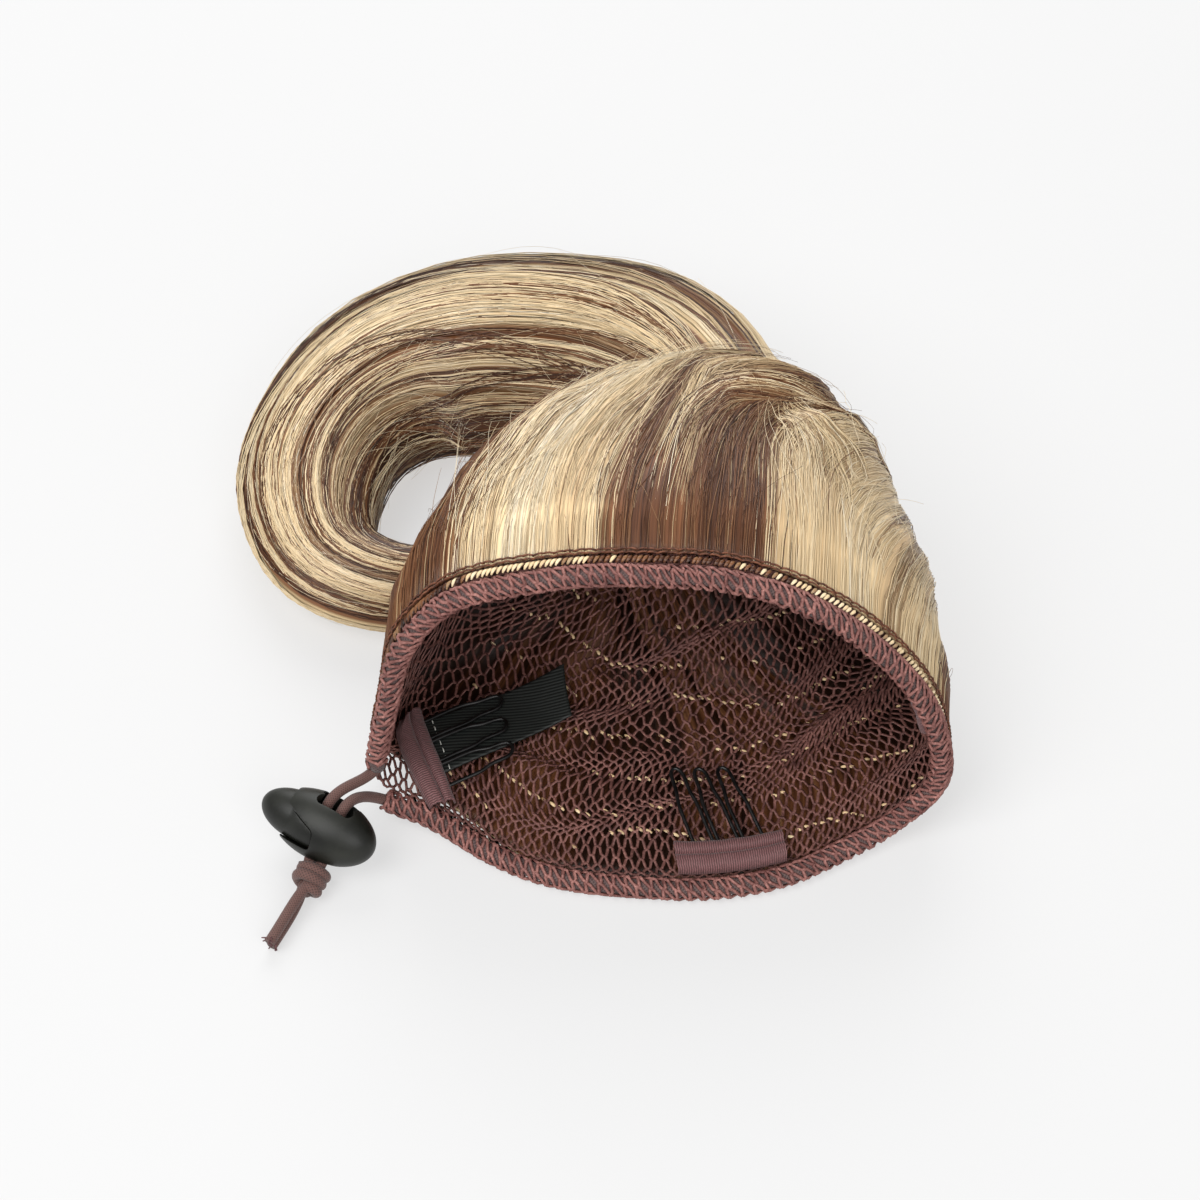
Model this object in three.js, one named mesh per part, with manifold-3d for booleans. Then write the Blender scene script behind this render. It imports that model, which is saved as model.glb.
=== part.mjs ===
// Bun hairpiece lying on its side: a net cap with a drawstring mouth, hair wefts sewn over the net,
// a ponytail that leaves the crown and loops round, a cord lock, three wire combs and a label.
// Millimetres. +X is right and +Y is away, as seen looking into the mouth, and +Z is up.
// The origin is on the floor, under the middle of the cap.

import * as THREE from "three";
import { mergeVertices } from "three/addons/utils/BufferGeometryUtils.js";
import Module from "manifold-3d";

const wasm = await Module();
wasm.setup();

// Driving dimensions

const UP = new THREE.Vector3(0, 0, 1);
const GAP = 0.3; // between pieces that touch

// The mouth's rim, from where the drawstring leaves it: an arch that stands up, then a lip on the floor.
const MOUTH = [
  { x: -55.8, y: -16.6, z: 13.5 },
  { x: -53.2, y: -16.5, z: 30 },
  { x: -49.3, y: -14.5, z: 47 },
  { x: -39.5, y: -12, z: 57.5 },
  { x: -23.2, y: -11.5, z: 62.5 },
  { x: -4.6, y: -11.5, z: 64 },
  { x: 14, y: -12, z: 62.5 },
  { x: 31, y: -14, z: 55.2 },
  { x: 45.4, y: -17, z: 42.3 },
  { x: 53, y: -18.5, z: 27 },
  { x: 54, y: -19.4, z: 12.5 },
  { x: 44.8, y: -23.2, z: 4.2 },
  { x: 34.2, y: -29.1, z: 2.4 },
  { x: 23.8, y: -34.5, z: 2.2 },
  { x: 10, y: -37.4, z: 2.2 },
  { x: -4.6, y: -37.2, z: 2.2 },
  { x: -19.8, y: -34.9, z: 2.2 },
  { x: -32.2, y: -29.6, z: 2.4 },
  { x: -45, y: -21.8, z: 4.2 },
  { x: -55.6, y: -18, z: 7.2 },
];
const HEART = new THREE.Vector3(0, -17, 31); // middle of the mouth
const CROWN = new THREE.Vector3(18, 58, 43); // where the net is gathered and the ponytail starts
const NARROWING = 1.12; // 1 is an ellipsoid, and more draws the cap in sooner
const SETTLE = { floorZ: 3.2, fadesAt: 32, fullClimb: 0.3 }; // how the cap's underside sinks flat

const FACETS = { turns: 48, climbs: 8 }; // round the cap and from the hair's first row to the crown
const NET = { thick: 1 };
const HEM = { radius: 2, bore: 1.4, from: 0.001, to: 0.97, sides: 7, steps: 40 };
const WEFT = { from: 2.4, to: 4.7, thick: 1.2 };
const HAIR = {
  from: 5,
  thin: 1.8,
  full: 3.2,
  fullAfter: 14,
  locks: 12,
  lockDepth: 1.2,
  swirl: 0.1,
  pressed: 5.3,
};

// The ponytail, a row for each section from the crown to the tucked tip.
const PONYTAIL_SECTIONS = [
  { x: 19, y: 48, z: 39, wide: 28, high: 26 },
  { x: 7, y: 68, z: 34.5, wide: 39, high: 30 },
  { x: -12, y: 89, z: 23, wide: 50, high: 32 },
  { x: -37, y: 99, z: 14.5, wide: 52, high: 30 },
  { x: -55, y: 93.5, z: 13, wide: 45, high: 27 },
  { x: -68, y: 79, z: 12, wide: 35, high: 25 },
  { x: -73, y: 60.5, z: 11, wide: 30, high: 23 },
  { x: -68.5, y: 42, z: 9.5, wide: 22, high: 20 },
  { x: -56, y: 35.5, z: 8.5, wide: 18, high: 18 },
  { x: -42, y: 37, z: 7.7, wide: 16, high: 16 },
  { x: -29, y: 42, z: 6.7, wide: 12, high: 14 },
];
const PONYTAIL = { locks: 7, lockDepth: 0.09, twist: 1.6, sides: 28, steps: 22 };

const CORD = { diameter: 2.2, sides: 8, pitch: 2.5, stepsPerEnd: 22 };
const KNOT = { x: -68.7, y: -36.8, z: 3.5, radius: 3.4, length: 5.6, waist: 2.9, sides: 14 };
// The two tails past the knot, one lying on the other, by their cut tips.
const TAILS = [
  { x: -75, y: -50.5, z: 1.4 },
  { x: -75.6, y: -51, z: 3.8 },
];

// The cord lock, along its own X from the button's tip to the body's nose. The cords cross it along its Y.
const LOCK = {
  x: -65.6,
  y: -27.8,
  z: 8.9,
  yaw: -28,
  pitch: 4,
  roll: 48,
  halfLength: 11.4,
  halfWidth: 6.8,
  halfHeight: 6,
  middleX: -0.4,
  mouthX: -5.2,
  firstCordX: 0.2,
  slotEndX: 5.4,
};
const BUTTON = { tipX: -14, halfWidth: 4.7, halfHeight: 4, backX: -4.6, travel: 2.5 };
const STEM = { halfWidth: 2, halfHeight: 2.5, wall: 1.6 };

// The combs: where each is sewn, as a turn round the mouth and millimetres from the rim, how far it leans
// from the rim's line, how far its teeth rake sideways, and how steeply they stand off the net.
const COMBS = [
  { name: "left", turn: 0.953, fromRim: 10.9, lean: -48, rake: 12, tilt: 0.03 },
  { name: "front", turn: 0.734, fromRim: 5.7, lean: 0, rake: 14, tilt: 0.02 },
  { name: "right", turn: 0.505, fromRim: 5.7, lean: 0, rake: 0, tilt: 0.02 },
];
const COMB = { wire: 0.8, teeth: 3, pitch: 4.9, toothLength: 20, toothWidth: 3.9 };
const WIRE = { sides: 5, stepsPerTooth: 9, stepsPerSpine: 4 };
const TAPE = { length: 19.6, width: 6.4, ply: 0.6, steps: 6 };
const LABEL = { comb: "left", length: 31, width: 13, thick: 0.6, shift: 1.8, steps: 8 };

const MATERIALS = {
  net: new THREE.MeshStandardMaterial({ color: 0x7a4a4c, roughness: 0.85, metalness: 0 }),
  hair: new THREE.MeshStandardMaterial({ color: 0xd2b27e, roughness: 0.45, metalness: 0 }),
  weft: new THREE.MeshStandardMaterial({ color: 0x5a3a26, roughness: 0.8, metalness: 0 }),
  cord: new THREE.MeshStandardMaterial({ color: 0x6b4843, roughness: 0.8, metalness: 0 }),
  lock: new THREE.MeshStandardMaterial({ color: 0x23241f, roughness: 0.5, metalness: 0 }),
  comb: new THREE.MeshStandardMaterial({ color: 0x0d0c0c, roughness: 0.35, metalness: 0.4 }),
  tape: new THREE.MeshStandardMaterial({ color: 0x8a5557, roughness: 0.8, metalness: 0 }),
  label: new THREE.MeshStandardMaterial({ color: 0x1d201c, roughness: 0.6, metalness: 0 }),
};

// Solids, lofts and tubes

function solidFrom(geometry) {
  const bare = new THREE.BufferGeometry();
  bare.setAttribute("position", geometry.getAttribute("position").clone());
  bare.setIndex(geometry.index);
  const merged = mergeVertices(bare, 1e-4);
  const triVerts = new Uint32Array(merged.index.array);
  const vertProperties = new Float32Array(merged.getAttribute("position").array);
  const solid = new wasm.Manifold(new wasm.Mesh({ numProp: 3, vertProperties, triVerts }));
  if (solid.volume() > 0) return solid;
  for (let i = 0; i < triVerts.length; i += 3) {
    [triVerts[i + 1], triVerts[i + 2]] = [triVerts[i + 2], triVerts[i + 1]];
  }
  return new wasm.Manifold(new wasm.Mesh({ numProp: 3, vertProperties, triVerts }));
}

function geometryFrom(solid) {
  const mesh = solid.getMesh();
  const geometry = new THREE.BufferGeometry();
  geometry.setAttribute("position", new THREE.BufferAttribute(new Float32Array(mesh.vertProperties), 3));
  geometry.setIndex(new THREE.BufferAttribute(new Uint32Array(mesh.triVerts), 1));
  geometry.computeVertexNormals();
  return geometry;
}

function solidOf(points, triangles) {
  return solidFrom(new THREE.BufferGeometry().setFromPoints(points).setIndex(triangles));
}

function steps(from, to, count) {
  return Array.from({ length: count + 1 }, (_, i) => from + ((to - from) * i) / count);
}

function polygon(sides, radius = 1) {
  return steps(0, 2 * Math.PI, sides)
    .slice(0, -1)
    .map((angle) => new THREE.Vector2(radius * Math.cos(angle), radius * Math.sin(angle)));
}

// A profile carried through stations: place(station, corner) puts each corner of the profile in space.
function loft(profile, stations, place, closed = false) {
  const points = stations.flatMap((station) => profile.map((corner) => place(station, corner)));
  const count = profile.length;
  const triangles = [];
  const spans = closed ? stations.length : stations.length - 1;
  for (let i = 0; i < spans; i++) {
    const here = i * count;
    const next = ((i + 1) % stations.length) * count;
    for (let j = 0; j < count; j++) {
      const k = (j + 1) % count;
      triangles.push(here + j, here + k, next + k, here + j, next + k, next + j);
    }
  }
  if (!closed) {
    const last = (stations.length - 1) * count;
    for (const [a, b, c] of THREE.ShapeUtils.triangulateShape(profile, [])) {
      triangles.push(a, c, b, last + a, last + b, last + c);
    }
  }
  return solidOf(points, triangles);
}

function curveThrough(points) {
  return new THREE.CatmullRomCurve3(points, false, "centripetal");
}

function tube(curve, radius, sides, count) {
  const section = new THREE.Shape(polygon(sides, radius));
  const settings = { steps: count, bevelEnabled: false, extrudePath: curve };
  return solidFrom(new THREE.ExtrudeGeometry(section, settings));
}

function ellipsoid(middleX, halfX, halfY, halfZ) {
  const ball = new THREE.SphereGeometry(1, 18, 12).rotateZ(Math.PI / 2);
  return solidFrom(ball.scale(halfX, halfY, halfZ).translate(middleX, 0, 0));
}

function ovalBar(fromX, toX, halfY, halfZ) {
  const bar = new THREE.CylinderGeometry(1, 1, toX - fromX, 18).rotateZ(Math.PI / 2);
  return solidFrom(bar.scale(1, halfY, halfZ).translate((fromX + toX) / 2, 0, 0));
}

function block(fromX, toX, halfY, halfZ) {
  const box = new THREE.BoxGeometry(toX - fromX, 2 * halfY, 2 * halfZ);
  return solidFrom(box.translate((fromX + toX) / 2, 0, 0));
}

function piece(name, solid, material) {
  const mesh = new THREE.Mesh(geometryFrom(solid), material.clone());
  mesh.name = name;
  return mesh;
}

// The cap's surface: turn goes round the mouth from the left corner over the arch, climb from rim to crown

const RIM = new THREE.CatmullRomCurve3(MOUTH.map(({ x, y, z }) => new THREE.Vector3(x, y, z)), true);
RIM.arcLengthDivisions = 400;
const AXIS = CROWN.clone().sub(HEART);
const DRIFT = AXIS.x;
AXIS.x = 0;
const RIM_TO_CROWN = (AXIS.length() * Math.PI) / 2;

function smoothstep(from, to, value) {
  return THREE.MathUtils.smoothstep(value, from, to);
}

function capPoint(turn, climb) {
  const tilt = (climb * Math.PI) / 2;
  const point = RIM.getPointAt(THREE.MathUtils.euclideanModulo(turn, 1)).sub(HEART);
  point.multiplyScalar(Math.cos(tilt) ** NARROWING).add(HEART).addScaledVector(AXIS, Math.sin(tilt));
  point.x += DRIFT * Math.sin(tilt) ** 2;
  const above = point.z - SETTLE.floorZ;
  const settled = SETTLE.floorZ + above * smoothstep(0, SETTLE.fadesAt, above);
  point.z = THREE.MathUtils.lerp(point.z, settled, smoothstep(0, SETTLE.fullClimb, climb));
  return point;
}

function capTangents(turn, climb) {
  const d = 1e-3;
  const at = Math.min(climb, 1 - 2 * d);
  const across = capPoint(turn + d, at).sub(capPoint(turn - d, at)).divideScalar(2 * d);
  const up = capPoint(turn, at + d).sub(capPoint(turn, at - d)).divideScalar(2 * d);
  return { across, up };
}

// The climb at a distance from the rim, square to the rim.
function climbAt(turn, fromRim) {
  const { across, up } = capTangents(turn, 0.01);
  return fromRim / up.projectOnPlane(across.normalize()).length();
}

function capLift(turn, climb, lift) {
  const { across, up } = capTangents(turn, climb);
  const outward = climb > 0.999 ? AXIS.clone() : across.cross(up);
  return capPoint(turn, climb).addScaledVector(outward.normalize(), lift);
}

// Hair this close to the floor lies flat on it.
function onFloor(point, pressed = 0) {
  if (point.z < pressed) point.z = 0;
  return point;
}

// A closed dome between two surfaces, or a filled one if there is no inner surface.
function dome(outside, inside, fromRim) {
  const { turns, climbs } = FACETS;
  const columns = steps(0, 1, turns).slice(0, -1);
  const shares = steps(0, 1, climbs).slice(0, -1);
  const shared = (share) => (turn) => THREE.MathUtils.lerp(climbAt(turn, HAIR.from), 1, share);
  const rows = shares.map(shared);
  if (fromRim < HAIR.from) rows.unshift((turn) => climbAt(turn, fromRim));
  const points = [];
  const triangles = [];
  const triangle = (a, b, c, flip) => triangles.push(a, ...(flip ? [c, b] : [b, c]));
  const cover = (surface, flip) => {
    const first = points.length;
    rows.forEach((climb) => columns.forEach((turn) => points.push(surface(turn, climb(turn)))));
    const pole = points.push(surface(0, 1)) - 1;
    for (let j = 0; j < turns; j++) {
      const k = (j + 1) % turns;
      for (let row = first; row + turns < pole; row += turns) {
        triangle(row + j, row + k, row + turns + k, flip);
        triangle(row + j, row + turns + k, row + turns + j, flip);
      }
      triangle(pole - turns + j, pole - turns + k, pole, flip);
    }
    return first;
  };
  const outer = cover(outside, false);
  const inner = inside ? cover(inside, true) : points.push(HEART.clone()) - 1;
  for (let j = 0; j < turns; j++) {
    const k = (j + 1) % turns;
    triangle(outer + k, outer + j, inside ? inner + j : inner);
    if (inside) triangle(outer + k, inner + j, inner + k);
  }
  return solidOf(points, triangles);
}

// Net cap and the drawstring in its hem

function hemCurve(extra = 0) {
  const turns = steps(HEM.from - extra, HEM.to + extra, HEM.steps);
  return curveThrough(turns.map((turn) => RIM.getPointAt(THREE.MathUtils.euclideanModulo(turn, 1))));
}

function netCap() {
  const half = NET.thick / 2;
  const wall = dome(
    (turn, climb) => capLift(turn, climb, half),
    (turn, climb) => capLift(turn, climb, -half),
    (HEM.radius + HEM.bore) / 2,
  );
  const hem = tube(hemCurve(), HEM.radius, HEM.sides, HEM.steps);
  const bore = tube(hemCurve(0.003), HEM.bore, HEM.sides, HEM.steps);
  return wall.add(hem).subtract(bore);
}

function drawstringLoop() {
  return tube(hemCurve(), CORD.diameter / 2, CORD.sides, HEM.steps);
}

// Hair

function hairLift(turn, climb) {
  const grown = smoothstep(0, HAIR.fullAfter, climb * RIM_TO_CROWN - HAIR.from);
  const wave = Math.cos(2 * Math.PI * HAIR.locks * (turn + HAIR.swirl * climb * climb));
  const depth = HAIR.lockDepth * smoothstep(0, 0.3, climb) * (1 - smoothstep(0.8, 1, climb));
  return THREE.MathUtils.lerp(HAIR.thin, HAIR.full, grown) + depth * wave;
}

function hairOutside(turn, climb, extra = 0) {
  return onFloor(capLift(turn, climb, hairLift(turn, climb) + extra), HAIR.pressed);
}

function capHair() {
  const under = NET.thick / 2 + GAP;
  return dome(
    (turn, climb) => hairOutside(turn, climb),
    (turn, climb) => capLift(turn, climb, under),
    HAIR.from,
  );
}

function rimWeft() {
  const under = NET.thick / 2 + GAP;
  const section = [
    new THREE.Vector2(WEFT.from, under),
    new THREE.Vector2(WEFT.to, under),
    new THREE.Vector2(WEFT.to, under + WEFT.thick),
    new THREE.Vector2(WEFT.from, under + WEFT.thick),
  ];
  const place = (turn, corner) => onFloor(capLift(turn, climbAt(turn, corner.x), corner.y));
  return loft(section, steps(0, 1, FACETS.turns).slice(0, -1), place, true);
}

function ponytail() {
  const spine = curveThrough(PONYTAIL_SECTIONS.map(({ x, y, z }) => new THREE.Vector3(x, y, z)));
  const sizes = curveThrough(PONYTAIL_SECTIONS.map(({ wide, high }) => new THREE.Vector3(wide, high, 0)));
  const place = (along, corner) => {
    const ahead = spine.getTangent(along);
    const side = ahead.clone().cross(UP).normalize();
    const over = side.clone().cross(ahead);
    const size = sizes.getPoint(along);
    const turned = PONYTAIL.locks * corner.angle() + 2 * Math.PI * PONYTAIL.twist * along;
    const lock = 1 + PONYTAIL.lockDepth * Math.cos(turned);
    const point = spine.getPoint(along);
    point.addScaledVector(side, (size.x / 2) * lock * corner.x);
    return onFloor(point.addScaledVector(over, (size.y / 2) * lock * corner.y));
  };
  const hank = loft(polygon(PONYTAIL.sides), steps(0, 1, PONYTAIL.steps), place);
  const cap = dome(
    (turn, climb) => hairOutside(turn, climb, GAP),
    null,
    HAIR.from,
  );
  return hank.subtract(cap);
}

// Cord lock, knot and the drawstring's free ends

const CORD_X = [LOCK.firstCordX, LOCK.firstCordX + CORD.pitch];
const CORD_CLEAR = CORD.diameter / 2 + GAP;
const SLOT = { from: CORD_X[0] - CORD_CLEAR, to: CORD_X[1] + CORD_CLEAR };
const FAR = 2 * LOCK.halfLength;

function cordSlot(fromX, toX) {
  const outline = new THREE.Shape();
  outline.absarc(toX - CORD_CLEAR, 0, CORD_CLEAR, -Math.PI / 2, Math.PI / 2);
  outline.absarc(fromX + CORD_CLEAR, 0, CORD_CLEAR, Math.PI / 2, (3 * Math.PI) / 2);
  const settings = { depth: 2 * FAR, bevelEnabled: false, curveSegments: 6 };
  const slot = new THREE.ExtrudeGeometry(outline, settings);
  return solidFrom(slot.translate(0, 0, -FAR).rotateX(Math.PI / 2));
}

function lockBody() {
  const egg = ellipsoid(LOCK.middleX, LOCK.halfLength, LOCK.halfWidth, LOCK.halfHeight);
  const buttonStop = BUTTON.backX + BUTTON.travel + GAP;
  const stemStop = SLOT.to + STEM.wall + BUTTON.travel + GAP;
  return egg
    .intersect(block(LOCK.mouthX, FAR, FAR, FAR))
    .subtract(ovalBar(-FAR, buttonStop, BUTTON.halfWidth + GAP, BUTTON.halfHeight + GAP))
    .subtract(block(-FAR, stemStop, STEM.halfWidth + GAP, STEM.halfHeight + GAP))
    .subtract(cordSlot(SLOT.from, LOCK.slotEndX));
}

function lockPlunger() {
  const half = -BUTTON.tipX / 2;
  const pad = ellipsoid(-half, half, BUTTON.halfWidth, BUTTON.halfHeight);
  const stem = block(BUTTON.backX - 1, SLOT.to + STEM.wall, STEM.halfWidth, STEM.halfHeight);
  return pad
    .intersect(block(-FAR, BUTTON.backX, FAR, FAR))
    .add(stem)
    .subtract(cordSlot(SLOT.from - BUTTON.travel, SLOT.to));
}

function cordLock() {
  const lock = new THREE.Group();
  const angles = [LOCK.roll, LOCK.pitch, LOCK.yaw].map(THREE.MathUtils.degToRad);
  lock.rotation.set(...angles, "ZYX");
  lock.position.set(LOCK.x, LOCK.y, LOCK.z);
  lock.add(piece("cord_lock_body", lockBody(), MATERIALS.lock));
  lock.add(piece("cord_lock_plunger", lockPlunger(), MATERIALS.lock));
  lock.updateMatrixWorld(true);
  return lock;
}

// The knot's own frame: its Z runs along the cords to the tails, and its X is level.
function knotFrame() {
  const frame = new THREE.Object3D();
  frame.up.copy(UP);
  frame.position.set(KNOT.x, KNOT.y, KNOT.z);
  frame.lookAt(TAILS[0].x, TAILS[0].y, KNOT.z - 1);
  frame.updateMatrixWorld(true);
  return frame;
}

// A free end: out of the hem, through the lock and the knot, then along the floor to its cut tip.
function freeEnd(lock, frame, index) {
  const side = index === 0 ? -1 : 1;
  const leaving = index === 0 ? HEM.from : HEM.to;
  const start = RIM.getPointAt(leaving);
  const heading = RIM.getTangentAt(leaving).multiplyScalar(side);
  const inLock = (y) => lock.localToWorld(new THREE.Vector3(CORD_X[index], y, 0));
  const inKnot = (quarter, along) => {
    const angle = (quarter * Math.PI) / 2;
    const apart = (side * CORD.pitch) / 2;
    return frame.localToWorld(new THREE.Vector3(apart * Math.cos(angle), apart * Math.sin(angle), along));
  };
  const exit = inKnot(1, KNOT.length / 2);
  const tip = new THREE.Vector3(TAILS[index].x, TAILS[index].y, TAILS[index].z);
  return curveThrough([
    start.clone().addScaledVector(heading, GAP),
    start.clone().addScaledVector(heading, 2),
    inLock(LOCK.halfWidth + 0.5),
    inLock(LOCK.halfWidth / 2),
    inLock(-LOCK.halfWidth / 2),
    inLock(-LOCK.halfWidth + 0.4),
    inKnot(0, -KNOT.length / 2),
    inKnot(0.5, 0),
    exit,
    exit.clone().lerp(tip, 0.4).setZ(TAILS[index].z),
    tip,
  ]);
}

function knot(frame, ends) {
  const half = KNOT.length / 2;
  const outline = [
    [0, -half],
    [KNOT.waist, -half],
    [KNOT.radius, -half * 0.5],
    [KNOT.waist, 0],
    [KNOT.radius, half * 0.5],
    [KNOT.waist, half],
    [0, half],
  ].map(([radius, along]) => new THREE.Vector2(radius, along));
  const wraps = new THREE.LatheGeometry(outline, KNOT.sides).rotateX(Math.PI / 2);
  const solid = solidFrom(wraps.applyMatrix4(frame.matrixWorld));
  const holes = ends.map((end) => tube(end, CORD_CLEAR, CORD.sides, CORD.stepsPerEnd));
  return holes.reduce((left, hole) => left.subtract(hole), solid);
}

// Combs, their tapes and the label, laid on the inside of the net

// A patch of the net, in millimetres along the rim, square to the rim and over the net's middle.
function netPatch({ turn, fromRim, lean, rake, tilt }) {
  const climb = climbAt(turn, fromRim);
  const { across, up } = capTangents(turn, climb);
  const perTurn = across.length();
  const skew = up.dot(across) / perTurn;
  const perClimb = Math.sqrt(up.lengthSq() - skew ** 2);
  const turned = THREE.MathUtils.degToRad(lean);
  const shear = Math.tan(THREE.MathUtils.degToRad(rake));
  return (along, inward, over) => {
    const beyond = Math.max(inward - TAPE.width / 2, 0);
    const raked = along + shear * beyond;
    const x = raked * Math.cos(turned) + inward * Math.sin(turned);
    const rise = (inward * Math.cos(turned) - raked * Math.sin(turned)) / perClimb;
    return capLift(turn + (x - rise * skew) / perTurn, climb + rise, -over - tilt * beyond);
  };
}

const TAPE_OVER = NET.thick / 2 + 2 * GAP;
const CHANNEL = { from: TAPE_OVER + TAPE.ply, to: TAPE_OVER + TAPE.ply + COMB.wire + 2 * GAP };
const WIRE_OVER = (CHANNEL.from + CHANNEL.to) / 2;

function comb(patch) {
  const half = COMB.toothWidth / 2;
  const middles = steps(-0.5, 0.5, COMB.teeth - 1).map((share) => share * (COMB.teeth - 1) * COMB.pitch);
  const wire = (points, count) => {
    const curve = curveThrough(points.map(([x, y]) => patch(x, y, WIRE_OVER)));
    return tube(curve, COMB.wire / 2, WIRE.sides, count);
  };
  const tooth = (x) => [
    [x - half, 0],
    [x - half, COMB.toothLength * 0.4],
    [x - half, COMB.toothLength - half],
    [x, COMB.toothLength],
    [x + half, COMB.toothLength - half],
    [x + half, COMB.toothLength * 0.4],
    [x + half, 0],
  ];
  const spine = [middles[0] - half, 0, middles[COMB.teeth - 1] + half].map((x) => [x, 0]);
  const teeth = middles.map((x) => wire(tooth(x), WIRE.stepsPerTooth));
  return teeth.reduce((joined, one) => joined.add(one), wire(spine, WIRE.stepsPerSpine));
}

function combTape(patch) {
  const half = TAPE.width / 2;
  const top = CHANNEL.to + TAPE.ply;
  const fold = -half + TAPE.ply;
  const section = [
    [-half, TAPE_OVER],
    [half, TAPE_OVER],
    [half, CHANNEL.from],
    [fold, CHANNEL.from],
    [fold, CHANNEL.to],
    [half, CHANNEL.to],
    [half, top],
    [-half, top],
  ].map(([inward, over]) => new THREE.Vector2(inward, over));
  const stations = steps(-TAPE.length / 2, TAPE.length / 2, TAPE.steps);
  return loft(section, stations, (along, corner) => patch(along, corner.x, corner.y));
}

function label(patch) {
  const half = LABEL.width / 2;
  const section = [
    [-half, TAPE_OVER],
    [half, TAPE_OVER],
    [half, TAPE_OVER + LABEL.thick],
    [-half, TAPE_OVER + LABEL.thick],
  ].map(([along, over]) => new THREE.Vector2(along + LABEL.shift, over));
  const start = TAPE.width / 2 + GAP;
  const stations = steps(start, start + LABEL.length, LABEL.steps);
  return loft(section, stations, (inward, corner) => patch(corner.x, inward, corner.y));
}

// Assembly

const hairpiece = new THREE.Group();
const lock = cordLock();
const knotPlace = knotFrame();
const ends = [freeEnd(lock, knotPlace, 0), freeEnd(lock, knotPlace, 1)];
hairpiece.add(piece("net_cap", netCap(), MATERIALS.net));
hairpiece.add(piece("rim_weft", rimWeft(), MATERIALS.weft));
hairpiece.add(piece("cap_hair", capHair(), MATERIALS.hair));
hairpiece.add(piece("ponytail", ponytail(), MATERIALS.hair));
hairpiece.add(piece("drawstring_loop", drawstringLoop(), MATERIALS.cord));
ends.forEach((curve, i) => {
  const cord = tube(curve, CORD.diameter / 2, CORD.sides, CORD.stepsPerEnd);
  hairpiece.add(piece(`drawstring_end_${"ab"[i]}`, cord, MATERIALS.cord));
});
hairpiece.add(piece("drawstring_knot", knot(knotPlace, ends), MATERIALS.cord));
hairpiece.add(lock);
COMBS.forEach((place) => {
  const patch = netPatch(place);
  hairpiece.add(piece(`comb_${place.name}`, comb(patch), MATERIALS.comb));
  hairpiece.add(piece(`comb_tape_${place.name}`, combTape(patch), MATERIALS.tape));
  if (place.name === LABEL.comb) hairpiece.add(piece("label", label(patch), MATERIALS.label));
});

export default hairpiece;
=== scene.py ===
"""A bun hairpiece lying on its side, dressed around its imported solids.

A knotted net cap holds a drawstring in its hem. Hair is sewn over the net in panels of blond and brown,
meets at the crown and leaves it as a ponytail that loops round. A cord lock and a knot hold the drawstring,
and wire combs and a bare label are sewn inside. Lengths are millimetres until a mesh is made.
"""

import logging
import math
from dataclasses import dataclass
from enum import Enum
from functools import partial
from typing import Any, Callable, ClassVar, Optional, Sequence

import bpy
import numpy as np
from mathutils import Matrix, Vector


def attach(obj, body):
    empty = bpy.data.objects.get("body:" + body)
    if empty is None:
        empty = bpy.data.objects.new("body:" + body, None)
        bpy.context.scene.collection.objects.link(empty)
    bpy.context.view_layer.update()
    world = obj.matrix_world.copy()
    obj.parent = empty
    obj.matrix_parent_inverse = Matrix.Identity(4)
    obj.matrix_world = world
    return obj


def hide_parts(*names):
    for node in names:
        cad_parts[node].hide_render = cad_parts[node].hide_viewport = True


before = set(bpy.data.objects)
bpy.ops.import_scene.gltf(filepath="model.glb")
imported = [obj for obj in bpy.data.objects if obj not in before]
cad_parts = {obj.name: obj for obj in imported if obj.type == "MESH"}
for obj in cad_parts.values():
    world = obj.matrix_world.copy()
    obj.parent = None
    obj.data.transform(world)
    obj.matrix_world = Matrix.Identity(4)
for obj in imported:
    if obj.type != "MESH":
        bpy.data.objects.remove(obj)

Array = np.ndarray
Adder = Callable[..., bpy.types.Node]
Triple = tuple[float, float, float]
Pair = tuple[float, float]
LOG = logging.getLogger("bun_hairpiece")
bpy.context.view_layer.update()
MM = 0.001
TURN = 2 * math.pi
UP = np.array([0.0, 0.0, 1.0])
BODY = "hairpiece"
BUTTON_BODY = "lock_button"
# The clearance between pieces, as the part's solids have it.
GAP = 0.3
# How close corners are to be welded where a grid closes on itself.
WELD = 0.02
PALETTE_COLUMNS = 48


# Numbers, curves and meshes


def smoothstep(low: float, high: float, value: Array) -> Array:
    """Eases from 0 at low to 1 at high."""
    share = np.clip((np.asarray(value, float) - low) / (high - low), 0, 1)
    return share * share * (3 - 2 * share)


def unit(vectors: Array) -> Array:
    """Scales vectors to length 1."""
    return vectors / np.maximum(np.linalg.norm(vectors, axis=-1, keepdims=True), 1e-9)


def run_length(path: Array) -> float:
    """How long a path is."""
    return float(np.linalg.norm(np.diff(path, axis=0), axis=1).sum())


def kept_above(points: Array, least: float) -> Array:
    """Moves points up to a least height and returns them."""
    points[..., 2] = np.maximum(points[..., 2], least)
    return points


def ripple(turn: Array, climb: Array, seed: int, waves: int = 5) -> Array:
    """A smooth uneven field over the cap, about -1 to 1, that closes round the turn.

    Args:
        turn: Places round the mouth, 0 to 1.
        climb: Places from the rim to the crown, 0 to 1.
        seed: Which field.
        waves: How many waves are added up.

    Returns:
        The field at each place.
    """
    draw = np.random.default_rng(seed)
    total = np.zeros(np.broadcast(turn, climb).shape)
    for _ in range(waves):
        round_mouth, upward = draw.integers(2, 9), draw.uniform(1, 5)
        total = total + np.sin(TURN * (round_mouth * turn + upward * climb) + draw.uniform(0, TURN))
    return total / math.sqrt(waves)


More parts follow.
